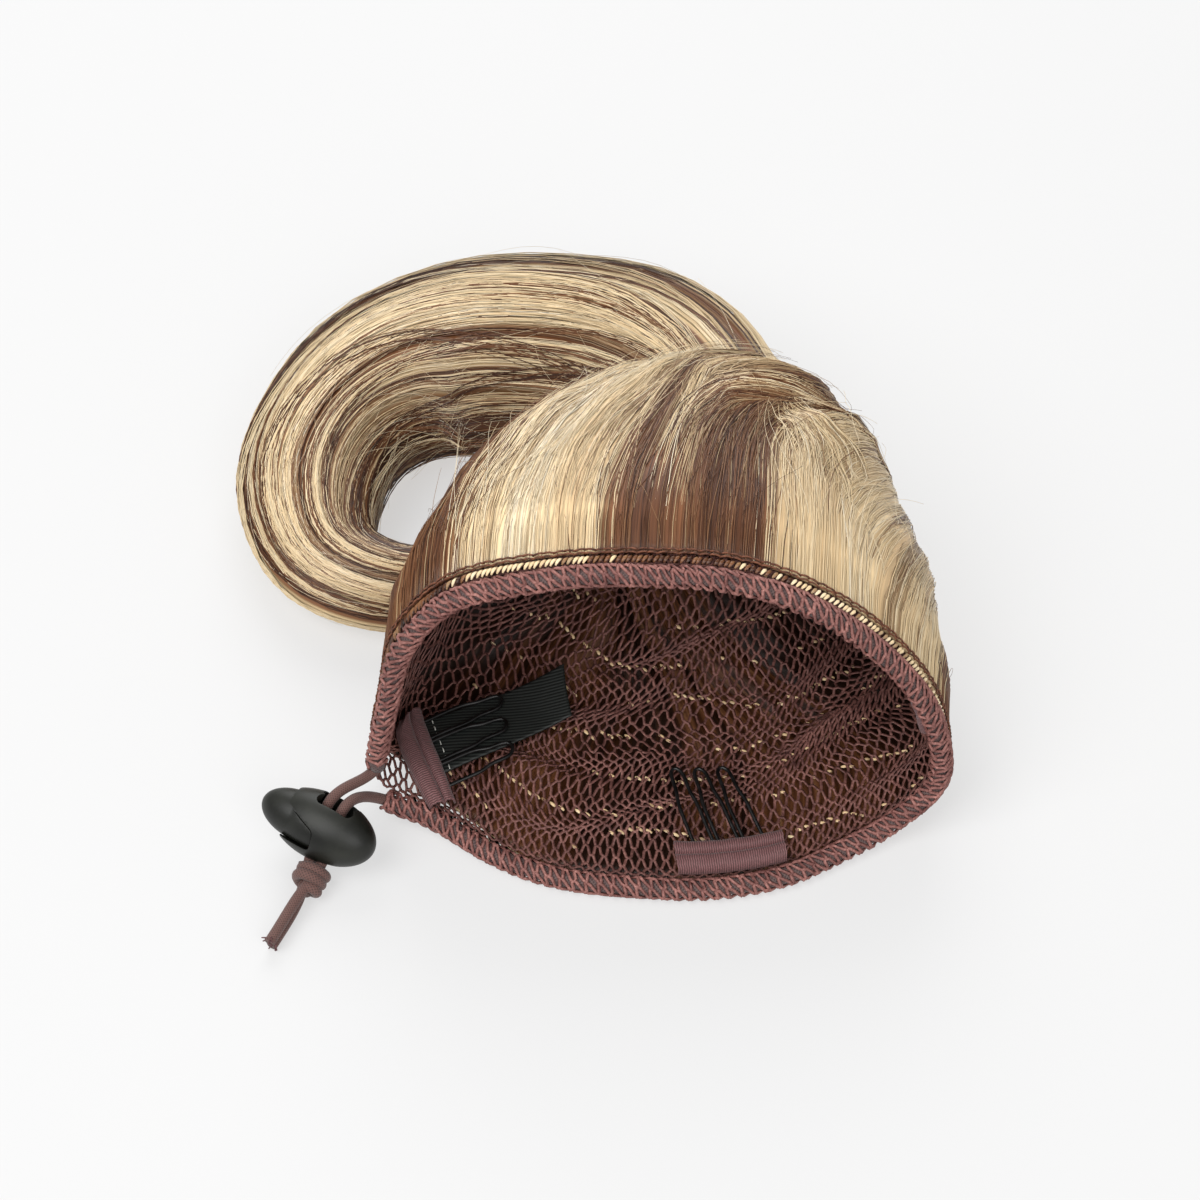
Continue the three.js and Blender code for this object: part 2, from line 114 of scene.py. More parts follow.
def sway(draw: np.random.Generator, count: int, rates: Pair, along: Array) -> Array:
    """Waves along many strands, each at its own rate and from its own phase."""
    rate = draw.uniform(*rates, count)[:, None]
    return np.sin(TURN * (rate * along + draw.random((count, 1))))


class Route:
    """A smooth curve through a few points, centripetal, as the part's own curves are."""

    def __init__(self, points: Sequence[Sequence[float]], closed: bool = False, per_span: int = 40) -> None:
        """Samples the curve finely.

        Args:
            points: The points that it passes through.
            closed: Whether the last point joins the first.
            per_span: Samples between two points.
        """
        given = np.array(points, float)
        if closed:
            ring = np.concatenate([given[-1:], given, given[:2]])
        else:
            ring = np.concatenate([2 * given[:1] - given[1:2], given, 2 * given[-1:] - given[-2:-1]])
        share = np.linspace(0, 1, per_span, endpoint=False)[:, None]
        spans = [self._span(ring[i : i + 4], share) for i in range(len(ring) - 3)]
        self.samples = np.concatenate([*spans, given[:1] if closed else given[-1:]])
        run = np.linalg.norm(np.diff(self.samples, axis=0), axis=1)
        self._run = np.concatenate([[0], np.cumsum(run)])
        self.length = float(self._run[-1])

    @staticmethod
    def _span(four: Array, share: Array) -> Array:
        """The cubic between the middle two of four points.

        Args:
            four: Four points that follow each other.
            share: Shares of the way between the middle two.

        Returns:
            Points of the cubic.
        """
        before, first, last, after = four
        gaps = np.sqrt(np.maximum(np.linalg.norm(np.diff(four, axis=0), axis=1), 1e-6))
        step = (last - first) / gaps[1]
        leave = (first - before) / gaps[0] - (last - before) / (gaps[0] + gaps[1]) + step
        reach = step - (after - first) / (gaps[1] + gaps[2]) + (after - last) / gaps[2]
        square, cube = share**2, share**3
        ends = (2 * cube - 3 * square + 1) * first + (3 * square - 2 * cube) * last
        return ends + ((cube - 2 * square + share) * leave + (cube - square) * reach) * gaps[1]

    def at(self, share: Array) -> Array:
        """Points at shares of the spans, which are each as long as any other."""
        places = np.linspace(0, 1, len(self.samples))
        return np.stack([np.interp(share, places, axis) for axis in self.samples.T], -1)

    def along(self, share: Array) -> Array:
        """Points at shares of the curve's length."""
        return np.stack([np.interp(share, self._run / self.length, axis) for axis in self.samples.T], -1)


def carried_frames(path: Array) -> Array:
    """A side vector at each point of one path, carried along it without twist.

    Args:
        path: The path's points.

    Returns:
        A unit vector for each point, square to the path.
    """
    ahead = unit(np.gradient(path, axis=0))
    sides = [unit(np.cross(ahead[0], UP if abs(ahead[0][2]) < 0.9 else [1.0, 0.0, 0.0]))]
    for direction in ahead[1:]:
        sides.append(unit(sides[-1] - direction * np.dot(sides[-1], direction)))
    return np.array(sides)


def dress(made: bpy.types.Object, slot: str, *nodes: str, body: str = BODY) -> bpy.types.Object:
    """Makes a piece ride on its body and stand for its nodes.

    Args:
        made: The piece.
        slot: Its slot; not used.
        nodes: The nodes it stands for.
        body: Its body.

    Returns:
        The piece.
    """
    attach(made, body)
    if nodes:
        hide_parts(*nodes)
    LOG.info("%s: %d faces", made.name, len(made.data.polygons))
    return made


@dataclass
class MeshArrays:
    """Corners and faces of many small things, joined into one mesh."""

    corners: Array
    quads: Array
    triangles: Array
    quad_uv: Array
    triangle_uv: Array
    lay: Optional[Array] = None

    @classmethod
    def joined(cls, groups: Sequence["MeshArrays"]) -> "MeshArrays":
        """Joins several groups into one.

        Args:
            groups: The groups, in order.

        Returns:
            One group with all of their corners and faces.
        """
        firsts = np.cumsum([0] + [len(g.corners) for g in groups[:-1]])
        parts = [
            (g.corners, g.quads + first, g.triangles + first, g.quad_uv, g.triangle_uv)
            for g, first in zip(groups, firsts)
        ]
        lays = [g.lay for g in groups if g.lay is not None]
        return cls(*map(np.concatenate, zip(*parts)), np.concatenate(lays) if lays else None)

    def piece(self, name: str, finish: "Finish", slot: str, *nodes: str) -> bpy.types.Object:
        """Makes the mesh and its object, and dresses it.

        Args:
            name: The piece's name.
            finish: Its finish.
            slot: Its material slot.
            nodes: The part's nodes that it stands for.

        Returns:
            The object, at the origin.
        """
        mesh = bpy.data.meshes.new(name)
        mesh.vertices.add(len(self.corners))
        mesh.vertices.foreach_set("co", (self.corners * MM).astype(np.float32).ravel())
        loops = np.concatenate([self.quads.ravel(), self.triangles.ravel()]).astype(np.int32)
        mesh.loops.add(len(loops))
        mesh.loops.foreach_set("vertex_index", loops)
        sizes = np.repeat([4, 3], [len(self.quads), len(self.triangles)])
        mesh.polygons.add(len(sizes))
        mesh.polygons.foreach_set("loop_start", (np.cumsum(sizes) - sizes).astype(np.int32))
        mesh.update(calc_edges=True)
        layer = mesh.uv_layers.new(name=finish.uv_name)
        uv = np.concatenate([self.quad_uv.ravel(), self.triangle_uv.ravel()])
        layer.uv.foreach_set("vector", uv.astype(np.float32))
        if self.lay is not None:
            lay = mesh.attributes.new("lay", "FLOAT_VECTOR", "POINT")
            lay.data.foreach_set("vector", self.lay.astype(np.float32).ravel())
        mesh.shade_smooth()
        mesh.materials.append(finish.material())
        made = bpy.data.objects.new(name, mesh)
        bpy.context.scene.collection.objects.link(made)
        return dress(made, slot, *nodes)


def strands(
    paths: Array,
    radii: Array | float,
    sides: int,
    facing: Optional[Array] = None,
    tones: Optional[Array] = None,
    closed: bool = False,
) -> MeshArrays:
    """Round strands along many paths that have equally many points.

    Args:
        paths: Strand, point, xyz.
        radii: One number, or one for each strand and point.
        sides: Sides of a strand's section.
        facing: A vector at each point that a corner of the section turns to. Carried along if not given.
        tones: A palette column for each strand, which its UV map keeps inside.
        closed: Whether each path joins its own start.

    Returns:
        The strands, closed at their ends.
    """
    count, points = paths.shape[:2]
    if closed:
        ahead = unit(np.roll(paths, -1, axis=1) - np.roll(paths, 1, axis=1))
    else:
        ahead = unit(np.gradient(paths, axis=1))
    if facing is None:
        facing = np.stack([carried_frames(path) for path in paths])
    side = unit(np.cross(ahead, facing))
    over = np.cross(side, ahead)
    angles = TURN * np.arange(sides) / sides
    radius = np.broadcast_to(radii, (count, points))[:, :, None, None]
    ring = np.cos(angles)[:, None] * over[:, :, None] + np.sin(angles)[:, None] * side[:, :, None]
    corners = (paths[:, :, None] + radius * ring).reshape(-1, 3)

    spans = points if closed else points - 1
    strand, span, k = np.meshgrid(np.arange(count), np.arange(spans), np.arange(sides), indexing="ij")
    column = np.zeros(count) if tones is None else tones
    columns = 1 if tones is None else PALETTE_COLUMNS
    quads, quad_uv = [], []
    for ahead_by, round_by in ((0, 0), (0, 1), (1, 1), (1, 0)):
        quads.append((strand * points + (span + ahead_by) % points) * sides + (k + round_by) % sides)
        quad_uv.append((column[strand] + 0.1 + 0.8 * (k + round_by) / sides) / columns)
        quad_uv.append((span + ahead_by) / spans)

    triangles, triangle_uv = [np.zeros((0, 3), int)], [np.zeros((0, 6))]
    for end, order in () if closed else ((0, -1), (points - 1, 1)):
        first = (np.arange(count) * points + end) * sides
        left, right = (column + 0.2) / columns, (column + 0.5) / columns
        height = np.full(count, 0.02 if end == 0 else 0.98)
        for j in range(1, sides - 1):
            triangles.append(np.stack([first, first + j, first + j + 1][::order], -1))
            triangle_uv.append(np.stack([left, height, right, height, left, height], -1))
    return MeshArrays(
        corners,
        np.stack(quads, -1).reshape(-1, 4),
        np.concatenate(triangles),
        np.stack(quad_uv, -1).reshape(-1, 8),
        np.concatenate(triangle_uv),
        None if tones is None else np.repeat(over.reshape(-1, 3), sides, axis=0),
    )


def cord_tube(path: Array, radius: float, sides: int = 16) -> MeshArrays:
    """One round cord, with its length in diameters up its UV map and once round it across.

    Args:
        path: The cord's middle line.
        radius: Its radius.
        sides: Sides of its section.

    Returns:
        Its corners and faces.
    """
    made = strands(path[None], radius, sides)
    made.quad_uv = made.quad_uv * np.tile([1.0, run_length(path) / (2 * radius)], 4)
    return made


def only(made: bpy.types.Object) -> None:
    """Selects one object alone and makes it active.

    Args:
        made: The object.
    """
    bpy.ops.object.select_all(action="DESELECT")
    made.select_set(True)
    bpy.context.view_layer.objects.active = made


def finish_modifier(made: bpy.types.Object, kind: str, **settings: Any) -> None:
    """Adds a modifier to a piece and applies it.

    Args:
        made: The piece.
        kind: The modifier's type.
        settings: Its properties.
    """
    only(made)
    modifier = made.modifiers.new(kind.lower(), kind)
    for name, value in settings.items():
        setattr(modifier, name, value)
    bpy.ops.object.modifier_apply(modifier=modifier.name)


def grid_piece(
    name: str,
    cells: tuple[int, int],
    size: Pair,
    finishes: Sequence["Finish"],
    place: Callable[[Array, Array], Array],
    tone: Optional[Callable[[Array, Array], Array]] = None,
) -> bpy.types.Object:
    """A grid primitive that is laid on a surface, with its UV map in millimetres.

    Args:
        name: The piece's name.
        cells: Cells across and along.
        size: Its flat width and length in millimetres.
        finishes: Its finishes, the first of which names the UV map.
        place: Gives points in millimetres for shares across and along.
        tone: Gives the hair's tone for the same shares, if the finish reads one.

    Returns:
        The object, one face thick.
    """
    bpy.ops.object.select_all(action="DESELECT")
    bpy.ops.mesh.primitive_grid_add(x_subdivisions=cells[0], y_subdivisions=cells[1], size=1)
    made = bpy.context.active_object
    mesh = made.data
    made.name = mesh.name = name
    flat = np.zeros(len(mesh.vertices) * 3)
    mesh.vertices.foreach_get("co", flat)
    shares = np.clip(flat.reshape(-1, 3)[:, :2] + 0.5, 0, 1)
    mesh.vertices.foreach_set("co", (place(*shares.T) * MM).ravel())
    while mesh.uv_layers:
        mesh.uv_layers.remove(mesh.uv_layers[0])
    index = np.zeros(len(mesh.loops), np.int32)
    mesh.loops.foreach_get("vertex_index", index)
    layer = mesh.uv_layers.new(name=finishes[0].uv_name)
    layer.uv.foreach_set("vector", (shares[index] * np.array(size)).astype(np.float32).ravel())
    mesh.update()
    if tone:
        tint = mesh.attributes.new("tone", "FLOAT", "POINT")
        tint.data.foreach_set("value", tone(*shares.T).astype(np.float32))
    for finish in finishes:
        mesh.materials.append(finish.material())
    return made


# Finishes


def linear(colour: str) -> tuple[float, float, float, float]:
    """An sRGB hex colour as linear red, green, blue and alpha."""
    channels = [int(colour[i : i + 2], 16) / 255 for i in (1, 3, 5)]
    return (*[c / 12.92 if c <= 0.04045 else ((c + 0.055) / 1.055) ** 2.4 for c in channels], 1.0)


def add_node(
    tree: bpy.types.NodeTree,
    kind: str,
    inputs: dict[Any, Any],
    stops: Sequence[tuple[float, str]] = (),
    **settings: Any,
) -> bpy.types.Node:
    """Adds one node.

    Args:
        tree: The material's nodes.
        kind: The node's type, without the ShaderNode that each begins with.
        inputs: A value, a socket, or a node whose first output is meant, for each input by name or number.
        stops: Places and colours along a colour ramp.
        settings: Its other properties.

    Returns:
        The node.
    """
    made = tree.nodes.new("ShaderNode" + kind)
    for name, value in settings.items():
        setattr(made, name, value)
    for index, (place, colour) in enumerate(stops):
        elements = made.color_ramp.elements
        stop = elements[index] if index < len(elements) else elements.new(place)
        stop.position, stop.color = place, linear(colour)
    for name, value in inputs.items():
        source = value.outputs[0] if isinstance(value, bpy.types.Node) else value
        if isinstance(source, bpy.types.NodeSocket):
            tree.links.new(source, made.inputs[name])
        else:
            made.inputs[name].default_value = source
    return made


class Finish:
    """A surface finish. Each kind fills in its own nodes."""

    title: str
    uv_name: ClassVar[str] = "Thread"

    def material(self) -> bpy.types.Material:
        """Makes the material, once for each finish.

        Returns:
            The material.
        """
        known = bpy.data.materials.get(self.title)
        if known:
            return known
        made = bpy.data.materials.new(self.title)
        made.use_nodes = True
        made.node_tree.nodes.clear()
        add = partial(add_node, made.node_tree)
        add("OutputMaterial", {"Surface": self.nodes(add)})
        return made

    def nodes(self, add: Adder) -> bpy.types.Node:
        """Adds the finish's nodes and returns its shader."""
        raise NotImplementedError


HAIR_TONES = (
    (0.0, "#281408"),
    (0.12, "#4d2b16"),
    (0.25, "#7d5031"),
    (0.4, "#98734f"),
    (0.54, "#b89d78"),
    (0.68, "#dcbc8f"),
    (0.82, "#f0d5a8"),
    (0.93, "#f8e4c0"),
    (1.0, "#fdf1d9"),
)


@dataclass(frozen=True)
class HairStrands(Finish):
    """Fine straight hair: a satin fibre whose tone is its palette column, some of it ash away from a brown root."""

    title: str
    roughness: float
    ash: float
    laid_flat: float = 0.6
    uv_name: ClassVar[str] = "OFBake"

    def nodes(self, add: Adder) -> bpy.types.Node:
        """Reads the tone across the UV map and the place along the strand up it.

        The shading leans towards the lay of the hair, because real fibres are finer than these strands.

        Args:
            add: Adds a node to the material.

        Returns:
            The shader.
        """
        place = add("SeparateXYZ", {0: add("UVMap", {}, uv_map=self.uv_name)})
        tone, along = place.outputs["X"], place.outputs["Y"]
        faded = add("MapRange", {"Value": along, "From Min": 0.35, "From Max": 0.7, "To Max": self.ash})
        some = add("MapRange", {"Value": tone, "From Min": 0.22, "From Max": 0.24, "To Max": 0.18})
        brown = add("MapRange", {"Value": tone, "From Min": 0.42, "From Max": 0.34})
        both = add("Math", {0: some, 1: brown}, operation="MULTIPLY")
        paler = add("Math", {0: faded, 1: both, 2: tone}, operation="MULTIPLY_ADD")
        tips = {"Value": along, "From Min": 0.83, "From Max": 0.97, "To Max": 0.45 * self.ash}
        deep = add("Math", {0: paler, 1: add("MapRange", tips)}, operation="SUBTRACT")
        own = add("NewGeometry", {}).outputs["Normal"]
        lay = add("Attribute", {}, attribute_name="lay").outputs["Vector"]
        leaning = add("Mix", {"Factor": self.laid_flat, 4: own, 5: lay}, data_type="VECTOR").outputs[1]
        surface = {
            "Base Color": add("ValToRGB", {"Fac": deep}, HAIR_TONES),
            "Roughness": self.roughness,
            "IOR": 1.55,
            "Specular IOR Level": 0.35,
            "Normal": add("VectorMath", {0: leaning}, operation="NORMALIZE"),
        }
        return add("BsdfPrincipled", surface)


@dataclass(frozen=True)
class HairBed(Finish):
    """The mass of hair under the top strands: fine streaks along the hair, over the tone of each place."""

    title: str = "hair_bed_streaked"
    streak_mm: float = 1.3
    contrast: float = 0.26
    darker: float = 0.12
    own_tone: float = 1.0
    uv_name: ClassVar[str] = "Streak"

    def nodes(self, add: Adder) -> bpy.types.Node:
        """Stretches noise along the hair, whose UV map is in millimetres across and along.

        Args:
            add: Adds a node to the material.

        Returns:
            The shader.
        """
        stretch = (1 / self.streak_mm, 0.02 / self.streak_mm, 1.0)
        wide = add("Mapping", {"Vector": add("UVMap", {}, uv_map=self.uv_name), "Scale": stretch})
        streak = add("TexNoise", {"Vector": wide, "Scale": 1.0, "Detail": 5.0, "Roughness": 0.65})
        # The tone is shifted darker by this much: painted shade where the bed shows between the strands over it, and
        # inside the cap.
        middle = -self.darker / 2
        reach = {"Value": streak, "To Min": middle - self.contrast, "To Max": middle + self.contrast}
        own = add("Attribute", {}, attribute_name="tone").outputs["Fac"]
        share = {0: own, 1: self.own_tone, 2: add("MapRange", reach)}
        tone = add("Math", share, operation="MULTIPLY_ADD")
        surface = {
            "Base Color": add("ValToRGB", {"Fac": tone}, HAIR_TONES),
            "Roughness": 0.45,
            "IOR": 1.55,
            "Specular IOR Level": 0.3,
            "Normal": add("Bump", {"Height": streak, "Strength": 0.8, "Distance": 0.4 * MM}),
        }
        return add("BsdfPrincipled", surface)


@dataclass(frozen=True)
class NylonThread(Finish):
    """Twisted nylon thread, dull, a little uneven in its dye, with a beaded twist along it."""

    title: str = "nylon_thread_plum"
    dark: str = "#6b443e"
    light: str = "#9b6b61"
    dye_mm: float = 3.0
    twist_mm: float = 0.55

    def nodes(self, add: Adder) -> bpy.types.Node:
        """Mottles the dye, darkens the colour towards the edges of the twist's beads as painted shade in its
        grooves, and bumps the twist. The twist is drawn coarser than life so that it shows.

        Args:
            add: Adds a node to the material.

        Returns:
            The shader.
        """
        place = add("TexCoord", {}).outputs["Object"]
        dye = add("TexNoise", {"Vector": place, "Scale": 1 / (self.dye_mm * MM), "Detail": 3.0})
        beads = add("TexVoronoi", {"Vector": place, "Scale": 1 / (self.twist_mm * MM)})
        colour = add("ValToRGB", {"Fac": dye}, ((0.3, self.dark), (0.7, self.light)))
        # Painted shade: the colour is multiplied darker towards the edge of each bead, in the twist's grooves.
        shade = add("ValToRGB", {"Fac": beads}, ((0.0, "#ffffff"), (0.9, "#b9a9a8")))
        both = {"Factor": 1.0, 6: colour, 7: shade}
        mixed = add("Mix", both, data_type="RGBA", blend_type="MULTIPLY").outputs[2]
        bump = add("Bump", {"Height": beads, "Strength": 0.5, "Distance": 0.15 * MM})
        return add("BsdfPrincipled", {"Base Color": mixed, "Roughness": 0.62, "IOR": 1.5, "Normal": bump})


def woven(add: Adder, uv: bpy.types.Node, across: float, along: float) -> bpy.types.Node:
    """The height of slanting yarns, 0 to 1, with so many of them to a unit of the UV map across and along.

    Args:
        add: Adds a node to the material.
        uv: The UV map's node.
        across: Yarns to a unit across.
        along: Yarns to a unit along.

    Returns:
        The node whose output is the height.
    """
    phase = add("VectorMath", {0: uv, 1: (TURN * across, TURN * along, 0.0)}, operation="DOT_PRODUCT")
    wave = add("Math", {0: phase.outputs["Value"]}, operation="SINE")
    return add("Math", {0: wave, 1: 0.5, 2: 0.5}, operation="MULTIPLY_ADD")


@dataclass(frozen=True)
class BraidedElastic(Finish):
    """Elastic cord with a braided textile cover: fine crossing yarns, painted paler where they rise and darker
    between them as painted highlight and shade, and soft cloth shading.
    """

    title: str = "elastic_braid"
    dark: str = "#412b26"
    light: str = "#6b4b44"
    yarns_round: float = 11.0
    yarns_along: float = 4.2
    uv_name: ClassVar[str] = "Braid"

    def nodes(self, add: Adder) -> bpy.types.Node:
        """Crosses two slanted lays of yarn over the cord's UV map, which is in diameters along it.

        Args:
            add: Adds a node to the material.

        Returns:
            The shader.
        """
        uv = add("UVMap", {}, uv_map=self.uv_name)
        lays = [woven(add, uv, self.yarns_round, slant * self.yarns_along) for slant in (1, -1)]
        height = add("Math", {0: lays[0], 1: lays[1]}, operation="MAXIMUM")
        # The colour follows the yarns' height: painted highlight on the raised yarns and painted shade between them.
        surface = {
            "Base Color": add("ValToRGB", {"Fac": height}, ((0.2, self.dark), (0.95, self.light))),
            "Roughness": 0.75,
            "IOR": 1.5,
            "Sheen Weight": 0.15,
            "Normal": add("Bump", {"Height": height, "Strength": 0.6, "Distance": 0.12 * MM}),
        }
        return add("BsdfPrincipled", surface)


@dataclass(frozen=True)
class RibbedTape(Finish):
    """Grosgrain tape: weft ribs across its length, painted paler on their crests and darker in their grooves, as
    painted highlight and shade.
    """

    title: str = "grosgrain_plum"
    dark: str = "#4c2c2a"
    light: str = "#85595a"
    rib_mm: float = 0.45
    uv_name: ClassVar[str] = "Weave"

    def nodes(self, add: Adder) -> bpy.types.Node:
        """Ribs along the tape's UV map, which is in millimetres, with an uneven dye.

        Args:
            add: Adds a node to the material.

        Returns:
            The shader.
        """
        uv = add("UVMap", {}, uv_map=self.uv_name)
        height = woven(add, uv, 0.0, 1 / self.rib_mm)
        yarn = add("TexNoise", {"Vector": uv, "Scale": 2.4, "Detail": 4.0})
        # The colour follows the ribs' height, paler on the crests and darker in the grooves: painted highlight and
        # shade, times an uneven dye.
        rib_shade_and_dye = add("Math", {0: height, 1: yarn}, operation="MULTIPLY")
        surface = {
            "Base Color": add("ValToRGB", {"Fac": rib_shade_and_dye}, ((0.02, self.dark), (0.5, self.light))),
            "Roughness": 0.6,
            "IOR": 1.5,
            "Sheen Weight": 0.2,
            "Normal": add("Bump", {"Height": height, "Strength": 0.7, "Distance": 0.15 * MM}),
        }
        return add("BsdfPrincipled", surface)


@dataclass(frozen=True)
class WovenLabel(Finish):
    """Black woven satin: fine slanting twill lines, with a soft grey lustre painted on their raised yarns and
    painted shade between them.
    """

    title: str = "woven_satin_black"
    dark: str = "#0e100f"
    light: str = "#2c302d"
    twill_mm: float = 0.75
    slant: float = 0.35
    uv_name: ClassVar[str] = "Weave"

    def nodes(self, add: Adder) -> bpy.types.Node:
        """Slants twill lines over the label's UV map, which is in millimetres.

        Args:
            add: Adds a node to the material.

        Returns:
            The shader.
        """
        uv = add("UVMap", {}, uv_map=self.uv_name)
        height = woven(add, uv, 1 / self.twill_mm, self.slant / self.twill_mm)
        # Raised twill is painted paler and the grooves darker: painted highlight and shade.
        colour = add("ValToRGB", {"Fac": height}, ((0.2, self.dark), (0.9, self.light)))
        bump = add("Bump", {"Height": height, "Strength": 0.5, "Distance": 0.08 * MM})
        return add("BsdfPrincipled", {"Base Color": colour, "Roughness": 0.5, "IOR": 1.5, "Normal": bump})


@dataclass(frozen=True)
class MouldedPlastic(Finish):
    """Acetal moulded with a fine spark finish: near black, satin, paler in soft clouds that are partly wear and
    partly painted sheen.
    """

    title: str = "acetal_moulded_black"
    dark: str = "#0e0f0b"
    light: str = "#24251f"
    cloud_mm: float = 6.0
    grit_mm: float = 0.25

    def nodes(self, add: Adder) -> bpy.types.Node:
        """Clouds the colour and roughness and bumps the fine grit.

        Args:
            add: Adds a node to the material.

        Returns:
            The shader.
        """
        place = add("TexCoord", {}).outputs["Object"]
        cloud = add("TexNoise", {"Vector": place, "Scale": 1 / (self.cloud_mm * MM), "Detail": 5.0})
        grit = add("TexNoise", {"Vector": place, "Scale": 1 / (self.grit_mm * MM), "Detail": 2.0})
        # Paler, rougher clouds: partly wear, partly painted sheen.
        surface = {
            "Base Color": add("ValToRGB", {"Fac": cloud}, ((0.35, self.dark), (0.75, self.light))),
            "Roughness": add("MapRange", {"Value": cloud, "To Min": 0.36, "To Max": 0.52}),
            "IOR": 1.48,
            "Specular IOR Level": 0.4,
            "Normal": add("Bump", {"Height": grit, "Strength": 0.25, "Distance": 0.05 * MM}),
        }
        return add("BsdfPrincipled", surface)


@dataclass(frozen=True)
class CoatedWire(Finish):
    """Spring wire dipped in black lacquer: dark and smooth with a narrow highlight."""

    title: str = "lacquered_wire_black"
    dark: str = "#080808"
    light: str = "#1b1a1a"
    wear_mm: float = 2.0

    def nodes(self, add: Adder) -> bpy.types.Node:
        """Varies the lacquer's colour and roughness along the wire.

        Args:
            add: Adds a node to the material.

        Returns:
            The shader.
        """
        place = add("TexCoord", {}).outputs["Object"]
        wear = add("TexNoise", {"Vector": place, "Scale": 1 / (self.wear_mm * MM), "Detail": 3.0})
        colour = add("ValToRGB", {"Fac": wear}, ((0.4, self.dark), (0.75, self.light)))
        rough = add("MapRange", {"Value": wear, "To Min": 0.25, "To Max": 0.45})
        return add("BsdfPrincipled", {"Base Color": colour, "Roughness": rough, "IOR": 1.5})


@dataclass(frozen=True)
class SewingThread(Finish):
    """Spun sewing thread, matt, with its dye a little uneven."""

    title: str
    dark: str
    light: str
    dye_mm: float = 0.8

    def nodes(self, add: Adder) -> bpy.types.Node:
        """Mottles the dye along the thread.

        Args:
            add: Adds a node to the material.

        Returns:
            The shader.
        """
        place = add("TexCoord", {}).outputs["Object"]
        dye = add("TexNoise", {"Vector": place, "Scale": 1 / (self.dye_mm * MM), "Detail": 2.0})
        colour = add("ValToRGB", {"Fac": dye}, ((0.35, self.dark), (0.65, self.light)))
        return add("BsdfPrincipled", {"Base Color": colour, "Roughness": 0.7, "IOR": 1.5})


@dataclass(frozen=True)
class PaleFloor(Finish):
    """Matt white sweep that keeps only a faint shadow."""

    title: str = "studio_sweep_white"

    def nodes(self, add: Adder) -> bpy.types.Node:
        """Lifts a matt white with some light of its own.

        Args:
            add: Adds a node to the material.

        Returns:
            The shader.
        """
        surface = {
            "Base Color": linear("#8c8c8c"),
            "Roughness": 0.9,
            "Emission Color": linear("#ffffff"),
            "Emission Strength": 0.555,
        }
        return add("BsdfPrincipled", surface)


WHITE_THREAD = SewingThread("sewing_thread_white", "#a9a9a2", "#d8d8d0")
BROWN_THREAD = SewingThread("sewing_thread_brown", "#452414", "#7d4b32")
PLUM_THREAD = SewingThread("sewing_thread_plum", "#4a2c2e", "#6d4547")
# The net's wall and its casing are one nylon thread in two copies: darker for the wall, which is seen inside the
# cap, as painted shade, and paler for the casing on the rim, as painted light.
NET_THREAD_SHADED = NylonThread()
CASING_THREAD_LIT = NylonThread("nylon_thread_casing_lit", "#84544e", "#bb857b")
CAP_STRANDS = HairStrands("hair_fibre_cap", 0.38, 0.9)
TAIL_STRANDS = HairStrands("hair_fibre_ponytail", 0.36, 0.25)
TAIL_BED = HairBed("hair_bed_ponytail", 1.3, 0.24, 0.0)
# The hair's inside face takes a much darker tone than its outside: painted shade inside the cap.
CAP_INSIDE_SHADED = HairBed("hair_seen_from_inside", 4.0, 0.6, 0.3, 0.36)
RIM_ELASTIC = BraidedElastic("elastic_in_casing", "#3c2d2c", "#65504d", 14.0)


# The cap's surface, as the part's solids have it


